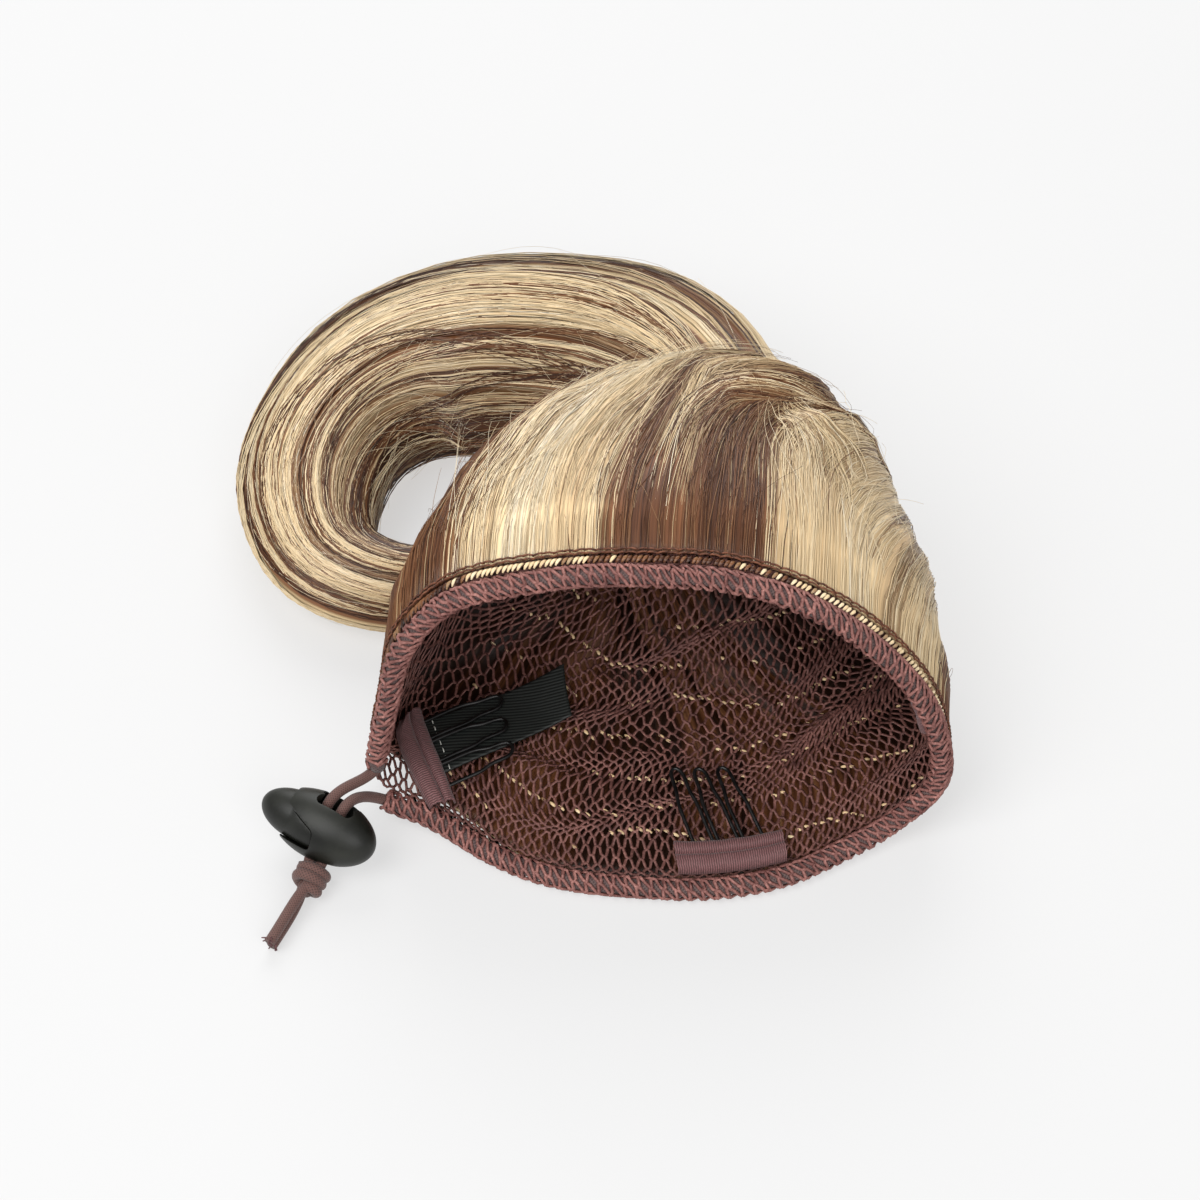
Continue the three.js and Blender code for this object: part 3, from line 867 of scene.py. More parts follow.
@dataclass
class CapSurface:
    """The dome of the net. Turn goes round the mouth from the left corner, climb from the rim to the crown."""

    mouth: tuple[Triple, ...] = (
        (-55.8, -16.6, 13.5),
        (-53.2, -16.5, 30),
        (-49.3, -14.5, 47),
        (-39.5, -12, 57.5),
        (-23.2, -11.5, 62.5),
        (-4.6, -11.5, 64),
        (14, -12, 62.5),
        (31, -14, 55.2),
        (45.4, -17, 42.3),
        (53, -18.5, 27),
        (54, -19.4, 12.5),
        (44.8, -23.2, 4.2),
        (34.2, -29.1, 2.4),
        (23.8, -34.5, 2.2),
        (10, -37.4, 2.2),
        (-4.6, -37.2, 2.2),
        (-19.8, -34.9, 2.2),
        (-32.2, -29.6, 2.4),
        (-45, -21.8, 4.2),
        (-55.6, -18, 7.2),
    )
    heart: Triple = (0, -17, 31)
    crown: Triple = (18, 58, 43)
    narrowing: float = 1.12
    floor_z: float = 3.2
    settle_fades: float = 32
    settle_full: float = 0.3
    net_thick: float = 1
    step: float = 1e-3

    def __post_init__(self) -> None:
        """Works out the rim and the axis."""
        self.rim_route = Route(self.mouth, closed=True)
        self.axis = np.array(self.crown, float) - self.heart
        self.drift = self.axis[0]
        self.axis[0] = 0
        self.rim_to_crown = float(np.linalg.norm(self.axis)) * math.pi / 2

    def rim(self, turn: Array) -> Array:
        """Points on the rim's middle line."""
        return self.rim_route.along(np.mod(turn, 1))

    def rim_heading(self, turn: Array) -> Array:
        """Which way the rim runs."""
        return unit(self.rim(turn + self.step) - self.rim(turn - self.step))

    def around(self, climb: float) -> float:
        """How far it is round the cap at one climb."""
        return run_length(self.point(np.linspace(0, 1, 200), climb))

    def point(self, turn: Array, climb: Array) -> Array:
        """Points on the middle of the net.

        Args:
            turn: Places round the mouth, 0 to 1.
            climb: Places from the rim to the crown, 0 to 1.

        Returns:
            A point for each place.
        """
        turn, climb = np.broadcast_arrays(np.asarray(turn, float), np.asarray(climb, float))
        tilt = climb[..., None] * math.pi / 2
        shrink = np.maximum(np.cos(tilt), 0) ** self.narrowing
        made = (self.rim(turn) - self.heart) * shrink + self.heart + self.axis * np.sin(tilt)
        made[..., 0] += self.drift * np.sin(tilt[..., 0]) ** 2
        above = made[..., 2] - self.floor_z
        settled = self.floor_z + above * smoothstep(0, self.settle_fades, above)
        made[..., 2] += (settled - made[..., 2]) * smoothstep(0, self.settle_full, climb)
        return made

    def tangents(self, turn: Array, climb: Array) -> tuple[Array, Array]:
        """How the surface runs for each turn and for each climb.

        Args:
            turn: Places round the mouth, 0 to 1.
            climb: Places from the rim to the crown, 0 to 1.

        Returns:
            Both vectors at each place, for a whole turn and a whole climb.
        """
        d = self.step
        at = np.minimum(climb, 1 - 2 * d)
        across = (self.point(turn + d, at) - self.point(turn - d, at)) / (2 * d)
        up = (self.point(turn, at + d) - self.point(turn, at - d)) / (2 * d)
        return across, up

    def normal(self, turn: Array, climb: Array) -> Array:
        """Outward directions."""
        return unit(np.cross(*self.tangents(turn, np.minimum(climb, 0.985))))

    def lifted(self, turn: Array, climb: Array, lift: Array) -> Array:
        """Points that stand off the net's middle."""
        return self.point(turn, climb) + self.normal(turn, climb) * np.asarray(lift)[..., None]

    def climb_at(self, turn: Array, from_rim: Array | float) -> Array:
        """The climb at a distance from the rim, square to the rim.

        Args:
            turn: Places round the mouth, 0 to 1.
            from_rim: Millimetres from the rim.

        Returns:
            The climb at each place.
        """
        across, up = self.tangents(turn, np.full(np.shape(turn), 0.01))
        along = unit(across)
        square = up - along * (up * along).sum(-1, keepdims=True)
        return from_rim / np.linalg.norm(square, axis=-1)


class Shade(Enum):
    """The hair colours that are sewn in, by their middle tone and how far strands stray from it."""

    BROWN = (0.22, 0.07)
    ASH = (0.5, 0.06)
    BLOND = (0.86, 0.05)


@dataclass
class HairPanels:
    """Which colour of hair is sewn where round the rim, and the palette column that each strand takes."""

    starts: tuple[tuple[float, Shade], ...] = (
        (0.0, Shade.BROWN),
        (0.165, Shade.BLOND),
        (0.256, Shade.BROWN),
        (0.36, Shade.BLOND),
        (0.445, Shade.ASH),
        (0.458, Shade.BLOND),
        (0.518, Shade.BROWN),
        (0.61, Shade.BLOND),
        (0.77, Shade.BROWN),
        (0.83, Shade.BLOND),
        (0.93, Shade.BROWN),
    )
    wisps: tuple[tuple[float, float, Shade], ...] = (
        (0.085, 0.09, Shade.BLOND),
        (0.192, 0.196, Shade.ASH),
        (0.243, 0.25, Shade.ASH),
        (0.274, 0.279, Shade.ASH),
        (0.279, 0.297, Shade.BLOND),
        (0.297, 0.308, Shade.ASH),
        (0.322, 0.325, Shade.ASH),
        (0.338, 0.342, Shade.ASH),
        (0.395, 0.4, Shade.ASH),
        (0.43, 0.434, Shade.BROWN),
        (0.487, 0.492, Shade.ASH),
        (0.552, 0.558, Shade.BLOND),
    )
    blur: float = 0.006
    streaked: float = 0.07
    locks: int = 70
    lock_stray: float = 0.055
    crown_ash: float = 0.13
    crown_dark: float = 0.5
    wisp_strength: float = 0.75
    seed: int = 19

    def lock_tone(self, turn: Array) -> Array:
        """How much lighter or darker the lock at each turn is than its panel."""
        stray = np.random.default_rng(self.seed).normal(0, self.lock_stray, self.locks + 1)
        return np.interp(np.mod(turn, 1) * self.locks, np.arange(self.locks + 1), stray)

    def middle(self, turn: Array) -> Array:
        """The middle tone at each turn, blurred at the panels' edges.

        Args:
            turn: Places round the mouth, 0 to 1.

        Returns:
            The tone at each place, dark to light.
        """
        places, tones = [], []
        for (start, shade), (end, _) in zip(self.starts, [*self.starts[1:], (1.0, None)]):
            places += [start + self.blur, end - self.blur]
            tones += [shade.value[0]] * 2
        return np.interp(np.mod(turn, 1), places, tones) + self.lock_tone(turn)

    def shades(self, turn: Array, draw: np.random.Generator) -> list[Shade]:
        """The shade at each turn, with blurred edges and a few strays.

        Args:
            turn: Places round the mouth, 0 to 1.
            draw: The random numbers that are drawn from.

        Returns:
            A shade for each place.
        """
        moved = np.mod(turn + draw.normal(0, 1.5 * self.blur, len(turn)), 1)
        index = np.searchsorted([start for start, _ in self.starts], moved, side="right") - 1
        stray = draw.random(len(turn)) < self.streaked
        return [Shade.ASH if astray else self.starts[i][1] for i, astray in zip(index, stray)]

    def bed_tone(self, turn: Array, share: Array) -> Array:
        """The tone of the mass of hair: its panel's, ash towards the crown, and lighter or darker at a wisp.

        Args:
            turn: Places round the mouth, 0 to 1.
            share: How far along its way to the crown it is.

        Returns:
            The tone at each place, dark to light.
        """
        tone = self.middle(turn)
        tone = tone + self.crown_ash * smoothstep(0.4, 0.75, share) * np.clip((0.5 - tone) / 0.3, 0, 1)
        tone = tone - self.crown_dark * smoothstep(0.8, 0.95, share) * np.clip((tone - 0.3) / 0.3, 0, 1)
        for low, high, shade in self.wisps:
            inside = smoothstep(low - 0.002, low + 0.001, turn)
            inside = inside * (1 - smoothstep(high - 0.001, high + 0.002, turn)) * smoothstep(0.12, 0.4, share)
            tone = tone + (shade.value[0] - tone) * self.wisp_strength * inside
        return tone

    def in_wisp(self, turn: Array) -> Array:
        """Whether hair at each turn belongs to a wisp."""
        return np.any([(turn > low) & (turn < high) for low, high, _ in self.wisps], axis=0)

    def wisped(self, shades: Sequence[Shade], turn: Array, late: Array) -> list[Shade]:
        """The shades, with those of the wisps for hair that is sewn in higher up.

        Args:
            shades: A shade for each strand.
            turn: Where each strand is sewn in.
            late: Whether it is sewn in higher up.

        Returns:
            A shade for each strand.
        """
        made = list(shades)
        for low, high, shade in self.wisps:
            for i in np.flatnonzero(late & (turn > low) & (turn < high)):
                made[i] = shade
        return made

    @staticmethod
    def columns(shades: Sequence[Shade], draw: np.random.Generator, lighter: Array | float = 0.0) -> Array:
        """A palette column for each strand of the given shades.

        Args:
            shades: A shade for each strand.
            draw: The random numbers that are drawn from.
            lighter: How much lighter each strand is.

        Returns:
            A column for each strand.
        """
        middles, strays = np.array([shade.value for shade in shades]).T
        tones = np.clip(middles + strays * draw.normal(0, 1, len(middles)) + lighter, 0, 0.999)
        return np.floor(tones * PALETTE_COLUMNS)


# Net and casing


@dataclass
class NetCap:
    """The knotted net: threads that run round the cap and meet their neighbours in rounded six-sided cells.

    The cells are larger than life, which keeps the net within its share of triangles.
    """

    cap: CapSurface
    thread: float = 0.34
    cell_counts: tuple[int, ...] = (124, 96, 76, 60, 46, 34, 24, 16)
    cell_least: float = 2.35
    near_rows: tuple[float, float, int] = (0.0, 0.72, 62)
    deep_rows: tuple[float, float, int] = (0.735, 0.93, 12)
    first_row: float = 2.6
    weft_pitch: float = 0.072
    weft_wander: float = 0.026
    bunched: float = 0.42
    sag: float = 1.5
    gather: float = 0.008
    crossing: float = 0.1
    inset: float = 0.15
    uneven: Pair = (0.04, 0.0007)
    casing_radius: float = 2.0
    casing_rows: int = 6
    casing_cells: int = 118
    casing_slant: float = 0.45
    casing_skew: float = 0.45
    casing_thread: float = 1.08
    casing_span: Pair = (0.001, 0.972)
    casing_uneven: Pair = (0.05, 0.0004)
    elastic_radius: float = 1.55
    elastic_points: int = 220
    highest: float = 0.97
    near_part: float = 0.4
    comb_room: Pair = (0.035, 0.07)
    above_combs: Pair = (0.38, 0.5)
    combs_at: tuple[float, ...] = (0.953, 0.734, 0.505)
    seed: int = 11

    # One wave of a thread: places along it and how far it leans to the row above or below.
    WAVE: ClassVar = ((0.0, 0.78), (0.16, 1.1), (0.32, 0.78), (0.5, -0.78), (0.66, -1.1), (0.82, -0.78))

    def wave(self, cells: int, row: int) -> tuple[Array, Array]:
        """Places round a row's thread and its lean, for so many cells. Odd rows are half a cell on.

        Args:
            cells: Cells round the row.
            row: The row's number.

        Returns:
            Places round the mouth and the lean at each.
        """
        places, lean = np.array(self.WAVE).T
        turns = (np.arange(cells)[:, None] + places + 0.5 * (row % 2)) / cells
        return turns.ravel(), np.tile(lean, cells)

    def crossed(self, lean: Array, row: int) -> Array:
        """How far a thread stands out where it passes over its neighbour, or in where it passes under."""
        return self.crossing * np.sign(lean) * (1 if row % 2 else -1)

    def weft_drift(self, turn: Array, climb: Array) -> Array:
        """How far the rows of weft that the net is sewn to wander from level."""
        fades = 1 - 0.8 * smoothstep(0.3, 0.75, climb)
        return self.weft_wander * ripple(turn, 0.7 * climb, self.seed + 3, 8) * fades

    def slack(self, turn: Array, climb: Array) -> Array:
        """How far the net hangs in from the hair between two rows of weft, but flat under the combs and the label.

        Args:
            turn: Places round the mouth, 0 to 1.
            climb: Places from the rim to the crown, 0 to 1.

        Returns:
            Millimetres at each place.
        """
        rows = (climb - self.weft_drift(turn, climb)) / self.weft_pitch
        hang = (0.5 - 0.5 * np.cos(TURN * rows)) * (0.6 + 0.35 * ripple(turn, 2.5 * climb, self.seed + 4, 8))
        apart = np.min([np.abs((turn - at + 0.5) % 1 - 0.5) for at in self.combs_at], axis=0)
        clear = np.maximum(smoothstep(*self.comb_room, apart), smoothstep(*self.above_combs, climb))
        return self.sag * np.clip(hang, 0, 1.3) * clear * smoothstep(0.04, 0.16, climb)

    def gathered(self, turn: Array, share: float) -> Array:
        """Where the middle of a row runs: its turns and its climbs, gathered as a slack net is.

        Args:
            turn: Places round the mouth, 0 to 1.
            share: How far up the cap the row is.

        Returns:
            Turns and climbs, one above the other.
        """
        level = np.full_like(turn, share)
        loose = smoothstep(0.01, 0.16, share) * (1 - 0.6 * smoothstep(0.4, 0.8, share))
        aside = self.gather * ripple(turn, 1.5 * level, self.seed + 1, 8)
        drift = self.weft_drift(turn, level) + self.gather * ripple(turn, 2 * level, self.seed + 2, 8)
        return np.stack([turn + aside * loose, level + drift * loose])

    def wall(self) -> list[MeshArrays]:
        """The threads of the cap in two parts, row by row to the crown, with gathers and slack.

        Returns:
            The part near the rim and the part near the crown.
        """
        draw = np.random.default_rng(self.seed)
        shares = np.concatenate([np.linspace(*self.near_rows), np.linspace(*self.deep_rows)])
        shares -= self.bunched * self.weft_pitch / TURN * np.sin(TURN * shares / self.weft_pitch)
        groups = []
        for row, share in enumerate(shares):
            around = self.cap.around(share)
            cells = next((c for c in self.cell_counts if around / c > self.cell_least), self.cell_counts[-1])
            turn, lean = self.wave(cells, row)
            first = self.cap.climb_at(turn, self.first_row)
            neighbours = (max(row - 1, 0), row, min(row + 1, len(shares) - 1))
            below, own, above = (self.gathered(turn, shares[i]) for i in neighbours)
            moved, reach = own + 0.5 * np.abs(lean) * (np.where(lean > 0, above, below) - own)
            moved = moved + draw.normal(0, self.uneven[0], len(turn)) / cells
            reach = np.clip(reach + draw.normal(0, self.uneven[1], len(turn)), 0, self.highest)
            climb = first + (1 - first) * reach
            lift = self.crossed(lean, row) - self.inset - self.slack(moved, climb)
            path = kept_above(self.cap.lifted(moved, climb, lift), self.thread)
            groups.append(strands(path[None], self.thread, 3, self.cap.normal(moved, climb)[None], closed=True))
        part = int(len(groups) * self.near_part)
        return [MeshArrays.joined(groups[:part]), MeshArrays.joined(groups[part:])]

    def casing(self) -> MeshArrays:
        """The net turned over the drawstring, in the same cells wrapped round the rim.

        Returns:
            Its corners and faces.
        """
        draw = np.random.default_rng(self.seed + 7)
        low, high = self.casing_span
        groups = []
        for row in range(self.casing_rows):
            share, lean = self.wave(self.casing_cells, row)
            share = share + self.casing_slant * (row + 0.5 * lean) / self.casing_cells
            turn = low + (high - low) * np.clip(share, 0, 1)
            ahead = self.cap.rim_heading(turn)
            out = self.cap.normal(turn, np.full_like(turn, 0.01))
            out = unit(out - ahead * (out * ahead).sum(-1, keepdims=True))
            skew = self.casing_skew * ripple(turn, np.zeros_like(turn), self.seed + 8, 6)
            uneven = draw.normal(0, self.casing_uneven[0], len(turn))
            angle = TURN * (row + 0.5 * lean + uneven) / self.casing_rows + skew
            outward = np.cos(angle)[:, None] * out + np.sin(angle)[:, None] * np.cross(ahead, out)
            radius = self.casing_radius + self.crossed(lean, row)
            shifted = turn + draw.normal(0, self.casing_uneven[1], len(turn))
            path = self.cap.rim(shifted) + outward * radius[:, None]
            thread = self.thread * self.casing_thread
            groups.append(strands(kept_above(path, self.thread)[None], thread, 4, outward[None]))
        return MeshArrays.joined(groups)

    def build(self) -> None:
        """Makes the wall, the casing and the elastic inside it."""
        low, high = self.wall()
        low.piece("net_wall", NET_THREAD_SHADED, "net", "net_cap")
        high.piece("net_crown", NET_THREAD_SHADED, "net")
        self.casing().piece("net_casing", CASING_THREAD_LIT, "net")
        elastic = cord_tube(self.cap.rim(np.linspace(*self.casing_span, self.elastic_points)), self.elastic_radius)
        elastic.piece("drawstring_in_casing", RIM_ELASTIC, "cord", "drawstring_loop")


# Hair


@dataclass(frozen=True)
class Stream:
    """Hair that runs over the cap to the whorl near its crown: where it comes from, where it ends and its shades.

    The greater the slope, the higher up the cap the hair that starts further round ends.
    """

    count: int
    turns: Pair
    climbs: Pair
    end: Pair
    spread: Pair
    slope: float
    shades: tuple[Shade, ...]
    lighter: float = 0.0


BROWN, ASH, BLOND = Shade.BROWN, Shade.ASH, Shade.BLOND
WHORL = (
    Stream(100, (0.283, 0.318), (0.25, 0.42), (0.36, 0.56), (0.012, 0.03), -1.6, (ASH, BLOND, BROWN)),
    Stream(230, (0.295, 0.352), (0.2, 0.4), (0.366, 0.475), (0.008, 0.022), -0.9, (BROWN,) * 4 + (ASH,)),
    Stream(120, (0.368, 0.425), (0.22, 0.4), (0.366, 0.44), (0.01, 0.03), 0.9, (BLOND, BLOND, ASH)),
    Stream(110, (0.385, 0.43), (0.52, 0.72), (0.37, 0.49), (0.006, 0.02), 0.5, (BROWN, BROWN, BLOND)),
    Stream(60, (0.35, 0.366), (0.45, 0.51), (0.369, 0.493), (0.003, 0.012), 0.0, (BROWN,), -0.17),
)


@dataclass
class CapHair:
    """Hair sewn in rows over the net, which rises from the rim and sweeps round to the crown."""

    cap: CapSurface
    panels: HairPanels
    first: float = 4.6
    thin: float = 1.5
    full: float = 3.1
    full_after: float = 14
    locks: int = 13
    lock_depth: float = 0.75
    small_locks: int = 44
    small_depth: float = 0.22
    sweep: float = 0.3
    wander: float = 0.008
    lowest: float = 0.12
    count: int = 2050
    points: int = 18
    fibre: float = 0.08
    layered: float = 0.3
    layered_wisps: float = 0.6
    on_arch: float = 0.79
    arch: Pair = (0.02, 0.6)
    under: Pair = (0.6, 1.02)
    wild: float = 0.22
    wild_times: float = 3.0
    stray: float = 0.0045
    late_begins: Pair = (0.05, 0.4)
    ends: Pair = (0.95, 0.03)
    stream_points: int = 14
    flyaways: int = 330
    flyaway_points: int = 14
    flyaway_fibre: float = 0.065
    flyaway_lean: float = 0.03
    flyaway_rise: float = 2.2
    fuzzy_share: float = 0.35
    fuzzy: Pair = (0.13, 0.25)
    bare_corner: Pair = (0.955, 0.03)
    bare_fade: float = 0.03
    bare_more: float = 6.5
    lip: tuple[Pair, Pair] = ((0.56, 0.62), (0.86, 0.92))
    lip_less: float = 2.4
    bed_cells: tuple[int, int] = (192, 46)
    bed_size: Pair = (300.0, 100.0)
    bed_reach: float = 0.997
    bed_under: float = 0.16
    bed_thick: float = 0.8
    seed: int = 23

    def lift(self, root: Array, share: Array) -> Array:
        """How far the hair's surface stands off the net, in locks that follow the hair.

        Args:
            root: Where the hair at each point is sewn in.
            share: How far along its way to the crown it is.

        Returns:
            Millimetres at each point.
        """
        grown = smoothstep(0, self.full_after, share * self.cap.rim_to_crown)
        depth = smoothstep(0, 0.3, share) * (1 - 0.7 * smoothstep(0.75, 1, share))
        wide = np.cos(TURN * self.locks * root + 1.5 * ripple(root, share, self.seed + 5, 3))
        fine = np.cos(TURN * self.small_locks * root + 2.0 * ripple(root, share, self.seed + 6, 3))
        relief = depth * (self.lock_depth * wide + self.small_depth * fine)
        return self.thin + (self.full - self.thin) * grown + relief

    def flow(self, root: Array, share: Array) -> Array:
        """How far round the cap the hair has swept. On the right it leans from its root, elsewhere it rises first.

        Args:
            root: Where the hair at each point is sewn in.
            share: How far along its way to the crown it is.

        Returns:
            The share of a turn at each point.
        """
        under = np.clip((root - 0.56) / 0.42, 0, 1)
        early = smoothstep(0.36, 0.46, root) * (1 - under)
        start = (0.65 - 0.4 * smoothstep(0.27, 0.34, root) * (1 - under)) * (1 - early)
        eased = smoothstep(0, 1, (share - start) / (1 - start)) ** 1.15
        aside = self.wander * ripple(root, 0.7 * share, self.seed + 4) * share
        return self.sweep * (1 + 0.2 * early) * eased + aside

    def laid(self, root: Array, share: Array, off: Array | float, start: Array) -> tuple[Array, Array]:
        """Points of the hair's surface, kept above the floor.

        Args:
            root: Where the hair at each point is sewn in.
            share: How far along its way to the crown it is.
            off: How far the point is from the hair's surface.
            start: The climb at the root.

        Returns:
            The points and the outward direction at each.
        """
        turn, climb = root + self.flow(root, share), start + (1 - start) * share
        made = self.cap.lifted(turn, climb, self.lift(root, share) + off)
        return kept_above(made, self.lowest), self.cap.normal(turn, climb)

    def hem(self, root: Array) -> Array:
        """The climb where the hair begins: further up at the bare corner, close to the rim on the lip.

        Args:
            root: Where the hair at each point is sewn in.

        Returns:
            A climb for each root.
        """
        (low, high), fade = self.bare_corner, self.bare_fade
        corner = smoothstep(low - fade, low, root) + 1 - smoothstep(high, high + fade, root)
        lip = smoothstep(*self.lip[0], root) * (1 - smoothstep(*self.lip[1], root))
        away = self.first + self.bare_more * np.minimum(corner, 1) - self.lip_less * lip
        return self.cap.climb_at(root, 1.0) * away

    def roots(self, draw: np.random.Generator) -> Array:
        """Turns where strands start: most over the arch, fewer on the floor side.

        Args:
            draw: The random numbers that are drawn from.

        Returns:
            A turn for each strand, in order.
        """
        arch = draw.uniform(*self.arch, int(self.count * self.on_arch))
        under = draw.uniform(*self.under, self.count - len(arch))
        return np.sort(np.concatenate([arch, under]))

    def strand_groups(self) -> list[MeshArrays]:
        """The strands in two halves. Some are sewn in higher up and come out from under the others.

        Returns:
            Corners and faces of each half.
        """
        draw = np.random.default_rng(self.seed)
        count = self.count
        root = self.roots(draw)
        late = draw.random(count) < self.layered
        late = late | (self.panels.in_wisp(root) & (draw.random(count) < self.layered_wisps))
        begin = np.where(late, draw.uniform(*self.late_begins, count), 0.0)[:, None]
        end = np.clip(draw.normal(*self.ends, count), 0.75, 0.985)[:, None]
        along = np.linspace(0, 1, self.points)[None]
        share = begin + (end - begin) * along
        wild = np.where(draw.random(count) < self.wild, self.wild_times, 1.0) * draw.normal(0, self.stray, count)
        swing = draw.uniform(0.6, 1.8, count)[:, None] * share + draw.random((count, 1))
        stray = wild[:, None] * np.sin(math.pi * swing) * smoothstep(0, 0.3, along)
        out = draw.uniform(-0.1, 0.22, count) + np.where(late, 0.12, 0.0)
        sunk = 0.3 * late[:, None] * (1 - smoothstep(0, 0.1, along))
        off = out[:, None] * (0.5 + 0.5 * smoothstep(0, 0.15, along)) - sunk
        paths, facing = self.laid(root[:, None] + stray, share, off, self.hem(root)[:, None])
        taper = 1 - 0.55 * smoothstep(0.75, 1, share)
        radii = self.fibre * draw.uniform(0.75, 1.3, count)[:, None] * taper
        shades = self.panels.wisped(self.panels.shades(root, draw), root, late)
        tones = self.panels.columns(shades, draw, self.panels.lock_tone(root))
        halves = np.array_split(draw.permutation(count), 2)
        return [strands(paths[h], radii[h], 3, facing[h], tones[h]) for h in halves]

    def whorl(self) -> MeshArrays:
        """Hair that runs to the whorl from every side, over the strands.

        Returns:
            Its corners and faces.
        """
        draw = np.random.default_rng(self.seed + 13)
        along = np.linspace(0, 1, self.stream_points)[None]
        groups = []
        for stream in WHORL:
            count = stream.count
            turn, climb = (draw.uniform(*span, count) for span in (stream.turns, stream.climbs))
            end = [draw.normal(at, wide, count) for at, wide in zip(stream.end, stream.spread)]
            end[1] += stream.slope * (turn - np.mean(stream.turns))
            turns = turn[:, None] + (end[0] - turn)[:, None] * along**1.7
            climbs = climb[:, None] + (end[1] - climb)[:, None] * (1 - (1 - along) ** 1.4)
            start = self.cap.climb_at(turn, self.first)[:, None]
            share = (climbs - start) / (1 - start)
            root = turns
            for _ in range(6):
                root = turns - self.flow(root, share)
            off = draw.uniform(0.1, 0.5, count)[:, None] - 0.5 * (1 - smoothstep(0, 0.15, along))
            paths, facing = self.laid(root, share, off, start)
            shades = [stream.shades[i] for i in draw.integers(0, len(stream.shades), count)]
            tones = self.panels.columns(shades, draw, stream.lighter)
            radii = self.fibre * draw.uniform(0.7, 1.2, count)[:, None] * (1 - 0.5 * smoothstep(0.7, 1, along))
            groups.append(strands(paths, radii, 3, facing, tones))
        return MeshArrays.joined(groups)

    def loose(self) -> MeshArrays:
        """Flyaways that lift off the cap and curl, most of them where the hair is fuzzy.

        Returns:
            Its corners and faces.
        """
        draw = np.random.default_rng(self.seed + 9)
        count = self.flyaways
        fuzzy = draw.random(count) < self.fuzzy_share
        root = np.where(fuzzy, draw.uniform(*self.fuzzy, count), draw.uniform(0.05, 0.58, count))
        begin = draw.uniform(0.05, 0.75, count)[:, None]
        along = np.linspace(0, 1, self.flyaway_points)[None]
        share = np.clip(begin + draw.uniform(0.1, 0.3, count)[:, None] * along, 0, 0.97)
        lean = draw.normal(0, self.flyaway_lean, count)[:, None] * along**1.5
        rise = np.abs(draw.normal(0, self.flyaway_rise, count))[:, None] * along**1.4
        curl = draw.uniform(0.1, 0.6, count)[:, None] * along * sway(draw, count, (0.3, 1.3), along)
        start = self.cap.climb_at(root, self.first)[:, None]
        paths, facing = self.laid(root[:, None] + lean, share, 0.1 + rise + curl, start)
        tones = self.panels.columns(self.panels.shades(root, draw), draw, 0.04)
        return strands(paths, self.flyaway_fibre * (1 - 0.5 * along), 3, facing, tones)

    def bed(self) -> bpy.types.Object:
        """The closed mass of hair under the strands: streaked outside, and painted dark with painted shade on its
        inside, where the net shows it.

        Returns:
            The object.
        """

        def place(across: Array, up: Array) -> Array:
            """Points for shares across and along."""
            return self.laid(across, self.bed_reach * up, -self.bed_under, self.hem(across))[0]

        def tone(across: Array, up: Array) -> Array:
            """The hair's tone for shares across and along."""
            return self.panels.bed_tone(across, self.bed_reach * up)

        made = grid_piece("hair_bed", self.bed_cells, self.bed_size, (HairBed(), CAP_INSIDE_SHADED), place, tone)
        finish_modifier(made, "WELD", merge_threshold=WELD * MM)
        finish_modifier(made, "SOLIDIFY", thickness=self.bed_thick * MM, offset=-1.0, material_offset=1)
        made.data.shade_smooth()
        return made

    def build(self) -> None:
        """Makes the bed, the strands, the whorl and the flyaways."""
        dress(self.bed(), "hair", "cap_hair")
        for letter, group in zip("ab", self.strand_groups()):
            group.piece(f"cap_strands_{letter}", CAP_STRANDS, "hair")
        self.whorl().piece("cap_whorl", CAP_STRANDS, "hair")
        self.loose().piece("cap_flyaways", TAIL_STRANDS, "hair")


